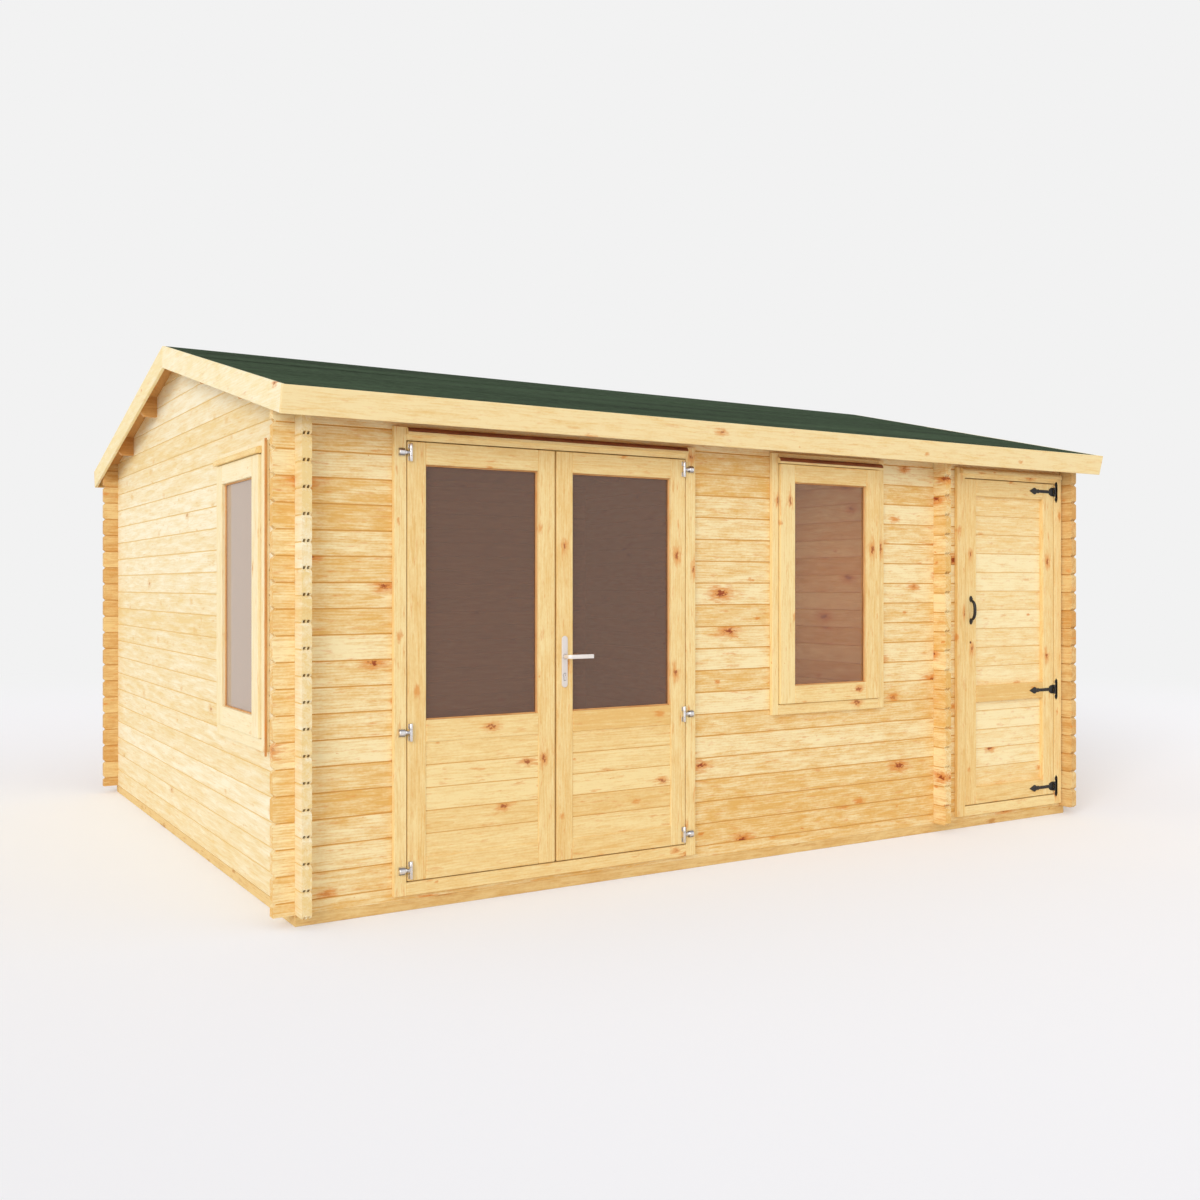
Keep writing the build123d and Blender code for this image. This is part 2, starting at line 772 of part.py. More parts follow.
all_crossings = [left, partition, right - log_thickness]
node("front_wall_base", front_logs(far_left, far_right, bearer_height, first_seam_front, (-1, 1), all_crossings))
node("front_wall_left", front_logs(far_left, door_open_left, first_seam_front, door_head, (-1, 0), [left]))
node("front_wall_middle", front_logs(door_open_right, pane_left, first_seam_front, door_head))
node("front_wall_under_window", front_logs(pane_left, pane_right, first_seam_front, window_low_front))
node(
    "front_wall_right",
    front_logs(pane_right, store_open_left, first_seam_front, door_head, (0, 0), [partition]),
)
node(
    "front_wall_end",
    front_logs(store_open_right, far_right, first_seam_front, door_head, (0, 1), [right - log_thickness]),
)
node("front_wall_top", front_logs(far_left, far_right, door_head, eave, (-1, 1), all_crossings))
node(
    "back_wall",
    front_logs(far_left, far_right, bearer_height, eave, (-1, 1), all_crossings, back),
)
window_near = front + window_centre_left - window_opening / 2
window_far = front + window_centre_left + window_opening / 2
node(
    "left_wall_lower",
    side_logs(left, 1, far_front, far_back, bearer_height, window_low_side, (-1, 1), rows),
)
node(
    "left_wall_front",
    side_logs(left, 1, far_front, window_near, window_low_side, window_high_side, (-1, 0), [front]),
)
node(
    "left_wall_rear",
    side_logs(left, 1, window_far, far_back, window_low_side, window_high_side, (0, 1), [back - log_thickness]),
)
node(
    "left_gable",
    side_logs(left, 1, far_front, far_back, window_high_side, eave, (-1, 1), rows, to_roof=True),
)
node(
    "partition_wall",
    side_logs(partition, 1, far_front, far_back, bearer_height, eave, (-1, 1), rows, to_roof=True),
)
node(
    "right_wall",
    side_logs(right, -1, far_front, far_back, bearer_height, eave, (-1, 1), rows, to_roof=True),
)

# ---- Roof pieces --------------------------------------------------------------------------
node("purlins", *[bevelled_purlin(offset) for offset in purlin_rows])
sheet_end = slope_end - trim_board
for name, side in (("front", -1), ("rear", 1)):
    node(
        f"{name}_roof_boards",
        slope_layer(side, felt_thickness, roof_board, sheet_end, -inner_gable, inner_gable),
    )
    node(f"{name}_felt", slope_layer(side, 0, felt_thickness, sheet_end, -inner_gable, inner_gable))
node("fascias", fascia(-1), fascia(1))
node("bargeboards", *[bargeboard(side, end) for side in (-1, 1) for end in (-1, 1)])

# ---- Door frames --------------------------------------------------------------------------
jambs, head, sill = door_frame(door_frame_place, door_frame_width, frame_face, 0)
store_jambs, store_head, store_sill = door_frame(
    store_frame_place, store_frame_width, store_frame_face, store_setback
)
node("door_jambs", *jambs, *store_jambs)
node("door_heads", head, store_head)
node("door_sills", sill, store_sill)

# ---- Windows ------------------------------------------------------------------------------
front_frame, front_sash, front_glass, (sash_left, sash_right, sash_top) = window(
    window_front_x, window_low_front
)
side_frame, side_sash, side_glass, side_sash_place = window(0, window_low_side)
window_left_y = front + window_centre_left
node("window_frames", front_frame, turn_to_left_wall(side_frame, window_left_y))
node("window_sashes", front_sash, turn_to_left_wall(side_sash, window_left_y))
node("window_glass", front_glass, turn_to_left_wall(side_glass, window_left_y))

door_drip_base = frame_top - door_drip_drop - drip_height
window_drip_out = sash_proud - frame_proud + window_drip_proud
node(
    "drip_boards",
    front_drip(
        left + door_frame_place + door_drip_inset,
        left + door_frame_place + door_frame_width - door_drip_inset,
        drip_out,
        door_drip_base,
        frame_proud,
    ),
    front_drip(
        left + store_frame_place + store_drip_inset,
        left + store_frame_place + store_frame_width - store_drip_inset,
        drip_out,
        door_drip_base,
        frame_proud,
    ),
    front_drip(
        sash_left - window_drip_over,
        sash_right + window_drip_over,
        window_drip_out,
        sash_top + window_drip_rise,
        frame_proud,
    ),
    left_drip(
        window_left_y + side_sash_place[0] - window_drip_over,
        window_left_y + side_sash_place[1] + window_drip_over,
        window_drip_out,
        side_sash_place[2] + window_drip_rise,
        frame_proud,
    ),
)

# ---- Double door leaves -------------------------------------------------------------------
opening_left = left + door_frame_place + frame_face
opening_right = left + door_frame_place + door_frame_width - frame_face
leaf_width = (opening_right - opening_left - 2 * leaf_gap - meeting_gap) / 2
leaf_edges = {
    "left": (opening_left + leaf_gap, opening_left + leaf_gap + leaf_width),
    "right": (opening_right - leaf_gap - leaf_width, opening_right - leaf_gap),
}
panel_low, panel_high = leaf_bottom + rail, mid_rail_bottom
glass_low, glass_high = mid_rail_top, leaf_top - rail
spindle_x = leaf_edges["right"][0] + handle_inset
leaf_back = frame_front + leaf_thickness
spindle_circle = Pos(spindle_x, handle_height) * RegularPolygon(spindle_hole, flat_count)
spindle_space = extrude(
    Plane.XZ.offset(-leaf_back - handle_plate_thickness) * spindle_circle,
    leaf_thickness + 2 * handle_plate_thickness,
)
for name, (x0, x1) in leaf_edges.items():
    frame = leaf_frame(
        x0,
        x1,
        frame_front,
        stile,
        [
            (panel_low, panel_high, panel_recess, panel_thickness),
            (glass_low, glass_high, glass_recess, glass_thickness),
        ],
    )
    if name == "right":
        frame -= spindle_space
    node(f"{name}_leaf_frame", frame)
    node(
        f"{name}_leaf_panel",
        board_panel(
            x0 + stile,
            x1 - stile,
            frame_front + panel_recess,
            panel_low,
            panel_high,
            (panel_high - panel_low) / panel_boards,
        ),
    )
    node(
        f"{name}_leaf_glass",
        pane(
            x0 + stile,
            x1 - stile,
            frame_front + glass_recess,
            frame_front + glass_recess + glass_thickness,
            glass_low,
            glass_high,
        ),
    )

left_hinges = [pin_hinge(leaf_edges["left"][0], 1, height) for height in rail_centres]
right_hinges = [pin_hinge(leaf_edges["right"][1], -1, height) for height in rail_centres]
node("hinge_sockets", *[socket for socket, _ in left_hinges + right_hinges])
node("left_hinge_pins", *[pin for _, pin in left_hinges])
node("right_hinge_pins", *[pin for _, pin in right_hinges])

node(
    "handle_plates",
    long_plate(spindle_x, frame_front, -1, handle_height) - spindle_space,
    long_plate(spindle_x, leaf_back, 1, handle_height) - spindle_space,
)
half_spindle = spindle / 2
levers = lever(spindle_x, frame_front, -1, handle_height) + lever(spindle_x, leaf_back, 1, handle_height)
levers += block(
    spindle_x - half_spindle,
    spindle_x + half_spindle,
    frame_front - handle_plate_thickness - lever_play - half_spindle,
    leaf_back + handle_plate_thickness + lever_play + half_spindle,
    handle_height - half_spindle,
    handle_height + half_spindle,
)
node("door_levers", levers)

# ---- Store door ---------------------------------------------------------------------------
store_x0 = left + store_frame_place + store_frame_face + leaf_gap
store_x1 = left + store_frame_place + store_frame_width - store_frame_face - leaf_gap
store_face = frame_front + store_setback
node(
    "store_leaf_frame",
    leaf_frame(
        store_x0,
        store_x1,
        store_face,
        store_stile,
        [
            (panel_low, panel_high, store_recess, panel_thickness),
            (glass_low, glass_high, store_recess, panel_thickness),
        ],
    ),
)
node(
    "store_leaf_panels",
    *[
        board_panel(
            store_x0 + store_stile, store_x1 - store_stile, store_face + store_recess, low, high, store_board
        )
        for low, high in ((panel_low, panel_high), (glass_low, glass_high))
    ],
)
store_hinges = [strap_hinge(store_x1, height) for height in rail_centres]
node("strap_hinge_plates", *[plate for plate, _ in store_hinges])
node("strap_hinges", *[strap for _, strap in store_hinges])
node("pull_handle", pull_handle(store_x0 + pull_inset, store_face, pull_height))
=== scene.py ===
"""Log cabin: the visible timber, felt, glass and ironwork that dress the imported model."""

import logging
import math
import random
from dataclasses import dataclass, field
from enum import Enum
from functools import partial
from typing import Any, Callable

import bmesh
import bpy
from mathutils import Matrix, Vector, geometry


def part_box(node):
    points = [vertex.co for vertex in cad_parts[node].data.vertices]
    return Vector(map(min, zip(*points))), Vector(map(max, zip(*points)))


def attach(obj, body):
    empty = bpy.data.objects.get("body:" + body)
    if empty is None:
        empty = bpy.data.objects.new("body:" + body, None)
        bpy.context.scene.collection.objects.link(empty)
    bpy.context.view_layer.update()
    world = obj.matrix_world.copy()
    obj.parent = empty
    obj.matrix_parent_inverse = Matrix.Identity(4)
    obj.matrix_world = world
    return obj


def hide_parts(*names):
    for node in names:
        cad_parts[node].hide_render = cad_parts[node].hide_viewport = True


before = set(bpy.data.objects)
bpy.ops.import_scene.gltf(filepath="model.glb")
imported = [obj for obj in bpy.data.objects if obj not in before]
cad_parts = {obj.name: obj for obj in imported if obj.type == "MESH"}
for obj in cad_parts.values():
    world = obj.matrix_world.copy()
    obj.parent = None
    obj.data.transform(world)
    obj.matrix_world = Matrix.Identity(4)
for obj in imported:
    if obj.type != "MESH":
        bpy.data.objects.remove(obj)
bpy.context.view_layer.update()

log = logging.getLogger("log_cabin")

MM = 0.001  # sizes below are in millimetres, finished meshes in metres
PITCH = math.radians(13.35)  # of both roof slopes
WELD = 0.001  # corners nearer than this are one
TREE_LENGTH = 60.0  # metres of timber along which boards take their grain
HEART_ACROSS = (-0.03, 0.03)  # where a board's face lies from the heart of its tree, metres
HEART_BELOW = (0.018, 0.05)
END_GRAIN = 0.9  # a face whose normal runs this much along the grain is end grain
END_TONE = 0.3  # how much deeper a log's end grain is than its faces
DEEPEST_TONE = 1.2
JOINT_TONE = 2.0  # tone written where painted shade darkens the joint between boards; boards run from 0 to 1
RING_TONES = (0.1, 0.8)  # of the boards round a window
BEAD_ARRIS = 1.5
PRESSED_EDGE = 60.0  # edges of pressed and cast metal that turn more than this many degrees are rounded
METAL_SMOOTH = 35.0  # metal that turns less than this many degrees is shaded smooth
SUNK = 1.0  # metal parts bite this far into what they stand on, and their edges there stay sharp

Mesh = bmesh.types.BMesh
Pair = tuple[float, float]
Triple = tuple[float, float, float]
Colour = tuple[float, float, float, float]
Outline = list[Pair]
Place = Vector | Triple
Adder = Callable[..., Any]  # adds a node to one material, as add_node does


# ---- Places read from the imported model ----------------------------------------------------
@dataclass(frozen=True)
class Box:
    """Lowest and highest corner of a solid, in millimetres."""

    low: Vector
    high: Vector

    @property
    def centre(self) -> Vector:
        """The middle of the box."""
        return (self.low + self.high) / 2

    @property
    def size(self) -> Vector:
        """Its lengths along X, Y and Z."""
        return self.high - self.low

    @property
    def across(self) -> int:
        """The wall that it lies in: 0 for one along X, 1 for one along Y."""
        return 0 if self.size.x > self.size.y else 1


def box_of(node: str) -> Box:
    """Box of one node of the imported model, in millimetres."""
    low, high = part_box(node)
    return Box(low / MM, high / MM)


def merged(node: str) -> Mesh:
    """A node's own mesh with its corners merged, in metres."""
    mesh = bmesh.new()
    mesh.from_mesh(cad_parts[node].data)
    bmesh.ops.remove_doubles(mesh, verts=mesh.verts, dist=WELD * MM)
    return mesh


def islands(mesh: Mesh) -> list[list[bmesh.types.BMVert]]:
    """The corners of each separate solid in a mesh, from left to right, then front to back.

    Args:
        mesh: the mesh.

    Returns:
        A list of corners for each solid.
    """

    def low_corner(island: list[bmesh.types.BMVert]) -> list[float]:
        """Where the solid starts, rounded so that the last digit doesn't set the order."""
        return [round(min(vert.co[axis] for vert in island), 3) for axis in range(3)]

    waiting = set(mesh.verts)
    found = []
    while waiting:
        island = [waiting.pop()]
        for vert in island:
            for edge in vert.link_edges:
                other = edge.other_vert(vert)
                if other in waiting:
                    waiting.remove(other)
                    island.append(other)
        found.append(island)
    return sorted(found, key=low_corner)


def solids_of(node: str) -> list[Box]:
    """Boxes of the separate solids in one node, from left to right, then front to back.

    Args:
        node: the node's name.

    Returns:
        One box for each solid, in millimetres.
    """
    mesh = merged(node)
    corners = [[vert.co / MM for vert in island] for island in islands(mesh)]
    mesh.free()
    spans = [[[co[axis] for co in island] for axis in range(3)] for island in corners]
    return [Box(*(Vector([pick(span) for span in solid]) for pick in (min, max))) for solid in spans]


# ---- How grain lies -----------------------------------------------------------------------
class Lie(Enum):
    """Which way a board's grain runs, which way across its face, and which way through it."""

    ALONG_X = (0, 2, 1)
    ALONG_Y = (1, 2, 0)
    UPRIGHT_IN_FRONT = (2, 0, 1)
    UPRIGHT_IN_SIDE = (2, 1, 0)
    FLAT_ALONG_X = (0, 1, 2)
    FLAT_ALONG_Y = (1, 0, 2)


# ---- Shaping with bmesh operators ---------------------------------------------------------
def offset(axis: int, distance: float) -> Vector:
    """A distance along X, Y or Z as a vector."""
    return Vector([distance if place == axis else 0.0 for place in range(3)])


def board(low: Place, high: Place, arris: float = 1.5, segments: int = 1) -> Mesh:
    """A planed board between two opposite corners, with its edges taken off.

    Args:
        low: one corner.
        high: the corner opposite to it.
        arris: width of the broken edges.
        segments: flats across each broken edge.

    Returns:
        The board as a new bmesh.
    """
    part = bmesh.new()
    low, high = Vector(low), Vector(high)
    size = Vector([abs(far - near) for near, far in zip(low, high)])
    bmesh.ops.create_cube(part, size=1.0)
    bmesh.ops.scale(part, vec=size, verts=part.verts)
    bmesh.ops.translate(part, vec=(low + high) / 2, verts=part.verts)
    if arris > 0:
        round_edges(part, part.edges[:], arris, segments)
    return part


def round_edges(part: Mesh, edges: list, width: float, segments: int = 1) -> None:
    """Bevel some edges from a width in, with some flats across the bevel."""
    kind = {"offset_type": "OFFSET", "affect": "EDGES", "profile": 0.5, "material": -1}
    bmesh.ops.bevel(part, geom=edges, offset=width, segments=segments, clamp_overlap=True, **kind)


def sharp_edges(part: Mesh, degrees: float = 30.0, before: float = math.inf) -> list:
    """The edges whose faces turn more than an angle, wholly in front of a place on Y."""
    limit = math.radians(degrees)
    return [
        edge
        for edge in part.edges
        if len(edge.link_faces) == 2
        and edge.calc_face_angle() > limit
        and max(vert.co.y for vert in edge.verts) < before
    ]


def bar(outline: Outline, axis: int, start: float, end: float) -> Mesh:
    """A moulding: an outline across it, extruded along X, Y or Z.

    Args:
        outline: points round the section, on the other two axes in their order.
        axis: 0, 1 or 2 for X, Y or Z.
        start: where the moulding starts on that axis.
        end: where it ends.

    Returns:
        The moulding as a new bmesh.
    """
    part = bmesh.new()
    verts = []
    for first, second in outline:
        place = [first, second]
        place.insert(axis, start)
        verts.append(part.verts.new(place))
    grown = bmesh.ops.extrude_face_region(part, geom=[part.faces.new(verts)], use_keep_orig=True)
    new_verts = [item for item in grown["geom"] if isinstance(item, bmesh.types.BMVert)]
    bmesh.ops.translate(part, vec=offset(axis, end - start), verts=new_verts)
    bmesh.ops.recalc_face_normals(part, faces=part.faces)
    if part.calc_volume(signed=True) < 0:
        bmesh.ops.reverse_faces(part, faces=part.faces)
    return part


def saw(part: Mesh, point: Vector, normal: Vector) -> None:
    """Saw off what lies on a plane's outer side, and close the sawn face.

    Args:
        part: the mesh to cut.
        point: a point on the plane.
        normal: the plane's outward direction.
    """
    everything = part.verts[:] + part.edges[:] + part.faces[:]
    done = bmesh.ops.bisect_plane(
        part, geom=everything, dist=1e-4, plane_co=point, plane_no=normal, clear_outer=True
    )
    edges = [item for item in done["geom_cut"] if isinstance(item, bmesh.types.BMEdge)]
    if edges:
        bmesh.ops.holes_fill(part, edges=edges, sides=0)


def turned(centre: Place, axis: int, profile: Outline, sides: int = 24, into: float = 1.0) -> Mesh:
    """A lathe-turned bar: its profile spun once round the axis.

    Args:
        centre: a point on its axis.
        axis: 0, 1 or 2 for X, Y or Z.
        profile: places along the axis from that point, each with its radius.
        sides: flats around it.
        into: 1 or -1, which way along the axis the profile runs.

    Returns:
        The bar as a new bmesh.
    """
    part = bmesh.new()
    centre, direction, spoke = Vector(centre), offset(axis, 1.0), offset((axis + 1) % 3, 1.0)
    places = [centre + direction * (into * along) + spoke * radius for along, radius in profile]
    verts = [part.verts.new(place) for place in places]
    edges = [part.edges.new(pair) for pair in zip(verts, verts[1:])]
    bmesh.ops.spin(
        part, geom=verts + edges, cent=centre, axis=direction, angle=2 * math.pi, steps=sides, use_merge=True
    )
    bmesh.ops.remove_doubles(part, verts=part.verts, dist=0.01)
    bmesh.ops.recalc_face_normals(part, faces=part.faces)
    return part


def swept(path: list[Vector], radii: list[float], normal: Vector, sides: int, turn: float) -> Mesh:
    """A bar bent along a flat path, its end pushed on from station to station.

    Args:
        path: the stations.
        radii: the section's radius at each station.
        normal: direction square to the path's plane.
        sides: corners of the section.
        turn: the section's turn in degrees.

    Returns:
        The bar as a new bmesh.
    """
    part = bmesh.new()
    bmesh.ops.create_circle(part, cap_ends=True, radius=1.0, segments=sides)
    bmesh.ops.transform(part, matrix=Matrix.Rotation(math.radians(turn), 4, "Z"), verts=part.verts)
    end, last = part.faces[:][0], Matrix.Identity(4)
    for step, (place, radius) in enumerate(zip(path, radii)):
        along = (path[min(step + 1, len(path) - 1)] - path[max(step - 1, 0)]).normalized()
        facing = Matrix((normal, normal.cross(along), along)).transposed().to_4x4()
        station = Matrix.Translation(place) @ facing @ Matrix.Diagonal((radius, radius, 1.0, 1.0))
        if step:
            end = bmesh.ops.extrude_discrete_faces(part, faces=[end])["faces"][0]
        bmesh.ops.transform(part, matrix=station @ last.inverted(), verts=end.verts)
        last = station
    bmesh.ops.holes_fill(part, edges=[edge for edge in part.edges if edge.is_boundary], sides=0)
    bmesh.ops.recalc_face_normals(part, faces=part.faces)
    return part


def mirrored(half: Outline) -> Outline:
    """An outline from its upper half: (along, half width) out and back with the width reversed."""
    return half + [(along, -width) for along, width in reversed(half) if width > 0]


def knuckle(low: float, high: float, radius: float, rim: float) -> Outline:
    """Profile of a short barrel along its axis, its rims taken off."""
    start = [(low, 0.0), (low, radius - rim), (low + rim, radius)]
    return start + [(high - rim, radius), (high, radius - rim), (high, 0.0)]


class Piece:
    """One named piece: boards or bars gathered in one mesh, each with its own grain and tone."""

    def __init__(self, name: str, seed: int) -> None:
        """Start an empty piece.

        Args:
            name: the piece's name.
            seed: start of its run of random grain offsets and tones.
        """
        self.name = name
        self.random = random.Random(seed)
        self.mesh = bmesh.new()
        self.grain = self.mesh.verts.layers.float_vector.new("grain")
        self.tone = self.mesh.loops.layers.float.new("tone")
        self.count = 0

    def add(
        self,
        part: Mesh,
        lie: Lie = Lie.ALONG_X,
        tone: Pair | float = (0.0, 1.0),
        joints: bool = False,
        shading: Callable[[Vector], float] | None = None,
    ) -> None:
        """Take in one board or bar, and write the grain that it shows.

        Args:
            part: the board, which is used up.
            lie: which way its grain runs.
            tone: the tone, or the lowest and highest that it may have, 0 being palest.
            joints: whether the roots of its chamfered long edges get painted shade, and its ends a deeper
                tone.
            shading: gives the tone at each place, instead of one tone for the board.
        """
        along, across, through = lie.value
        middle = sum((vert.co for vert in part.verts), Vector()) / len(part.verts)
        start = self.random.uniform(0.0, TREE_LENGTH)
        heart = (self.random.uniform(*HEART_ACROSS), self.random.uniform(*HEART_BELOW))
        low, high = tone if isinstance(tone, tuple) else (tone, tone)
        shade = self.random.uniform(low, high)
        fresh = bpy.data.meshes.new("part")
        part.to_mesh(fresh)
        part.free()
        before, faces_before = len(self.mesh.verts), len(self.mesh.faces)
        self.mesh.from_mesh(fresh)
        bpy.data.meshes.remove(fresh)
        self.mesh.verts.ensure_lookup_table()
        self.mesh.faces.ensure_lookup_table()
        for vert in self.mesh.verts[before:]:
            rel = (vert.co - middle) * MM
            vert[self.grain] = (rel[along] + start, rel[across] + heart[0], rel[through] + heart[1])
        for face in self.mesh.faces[faces_before:]:
            face.normal_update()
            end = joints and abs(face.normal[along]) > END_GRAIN
            for loop in face.loops:
                plain = shading(loop.vert.co) if shading else shade
                loop[self.tone] = min(shade + END_TONE, DEEPEST_TONE) if end else plain
            if joints:
                self.paint_joint_shade(face, along)
        self.count += 1

    def paint_joint_shade(self, face: bmesh.types.BMFace, along: int) -> None:
        """Paint shade at the root of a long chamfer; any other face is left alone.

        Args:
            face: a face of the board.
            along: axis that the grain runs on.
        """
        if abs(face.normal[along]) > 0.1 or not 0.4 < abs(face.normal.z) < 0.95:
            return
        outward = Vector((face.normal.x, face.normal.y, 0.0))
        reach = max(vert.co.dot(outward) for vert in face.verts)
        for loop in face.loops:
            if loop.vert.co.dot(outward) < reach - 0.5:
                loop[self.tone] = JOINT_TONE

    def done(
        self, body: str, slot: str, finish: "Finish", replaced: tuple[str, ...] = (), smooth: float = 0.0
    ) -> bpy.types.Object:
        """Make the object, give it its finish and tie it to the frame.

        Args:
            body: the body that it moves with.
            slot: the record's material slot of its finish; not used.
            finish: the finish.
            replaced: nodes that it stands for.
            smooth: edges that turn less than this many degrees are shaded smooth.

        Returns:
            The finished object.
        """
        for _ in range(2):  # a second pass takes away the thin triangles that the first leaves
            bmesh.ops.dissolve_degenerate(self.mesh, dist=2 * WELD, edges=self.mesh.edges)
        bmesh.ops.scale(self.mesh, vec=(MM, MM, MM), verts=self.mesh.verts)
        if smooth > 0:
            for face in self.mesh.faces:
                face.smooth = True
            for edge in self.mesh.edges:
                edge.smooth = len(edge.link_faces) == 2 and edge.calc_face_angle() <= math.radians(smooth)
        thing = made(self.name, self.mesh, finish)
        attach(thing, body)
        if replaced:
            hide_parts(*replaced)
        log.info("%s: %d parts, %d faces", self.name, self.count, len(thing.data.polygons))
        return thing


def made(name: str, mesh: Mesh, finish: "Finish") -> bpy.types.Object:
    """An object in the scene from a finished mesh, which is used up.

    Args:
        name: its name.
        mesh: its mesh, in metres.
        finish: its finish.

    Returns:
        The object.
    """
    data = bpy.data.meshes.new(name)
    mesh.to_mesh(data)
    mesh.free()
    data.materials.append(finish.material())
    return placed_in_scene(name, data)


def placed_in_scene(name: str, data: bpy.types.ID) -> bpy.types.Object:
    """A new object of some mesh, light or camera, linked to the scene."""
    thing = bpy.data.objects.new(name, data)
    bpy.context.scene.collection.objects.link(thing)
    return thing


# ---- Finishes -----------------------------------------------------------------------------
def colour(code: str) -> Colour:
    """An sRGB hex colour as linear values.

    Args:
        code: the colour, such as "#F2DCA8".

    Returns:
        Red, green, blue and an alpha of 1.
    """
    parts = [int(code[place : place + 2], 16) / 255 for place in (1, 3, 5)]
    linear = [part / 12.92 if part <= 0.04045 else ((part + 0.055) / 1.055) ** 2.4 for part in parts]
    return (*linear, 1.0)


def add_node(
    tree: bpy.types.NodeTree, kind: str, inputs: dict[Any, Any] | None = None, **settings: Any
) -> Any:
    """Add one node with its settings and links.

    Args:
        tree: the node tree.
        kind: the node's type, without the word ShaderNode.
        inputs: by input name or number, a value to set or what to link: a socket, or a node for
            the first of its outputs that is in use.
        settings: properties to set on it.

    Returns:
        The node.
    """
    new = tree.nodes.new(f"ShaderNode{kind}")
    for name, value in settings.items():
        setattr(new, name, value)
    for name, value in (inputs or {}).items():
        if isinstance(value, bpy.types.Node):
            value = next(socket for socket in value.outputs if socket.enabled)
        if isinstance(value, bpy.types.NodeSocket):
            tree.links.new(value, new.inputs[name])
        else:
            new.inputs[name].default_value = value
    return new


@dataclass(frozen=True)
class Finish:
    """A named surface that makes its material once."""

    name: str

    def material(self) -> bpy.types.Material:
        """The material, made at its first use.

        Returns:
            The material, which later calls give back again.
        """
        found = bpy.data.materials.get(self.name)
        if found is None:
            found = bpy.data.materials.new(self.name)
            found.use_nodes = True
            found.node_tree.nodes.clear()
            add = partial(add_node, found.node_tree)
            add("OutputMaterial", {"Surface": self.surface(add)})
        return found

    def surface(self, add: Adder) -> Any:
        """Add the material's nodes and give back its shader."""
        raise NotImplementedError


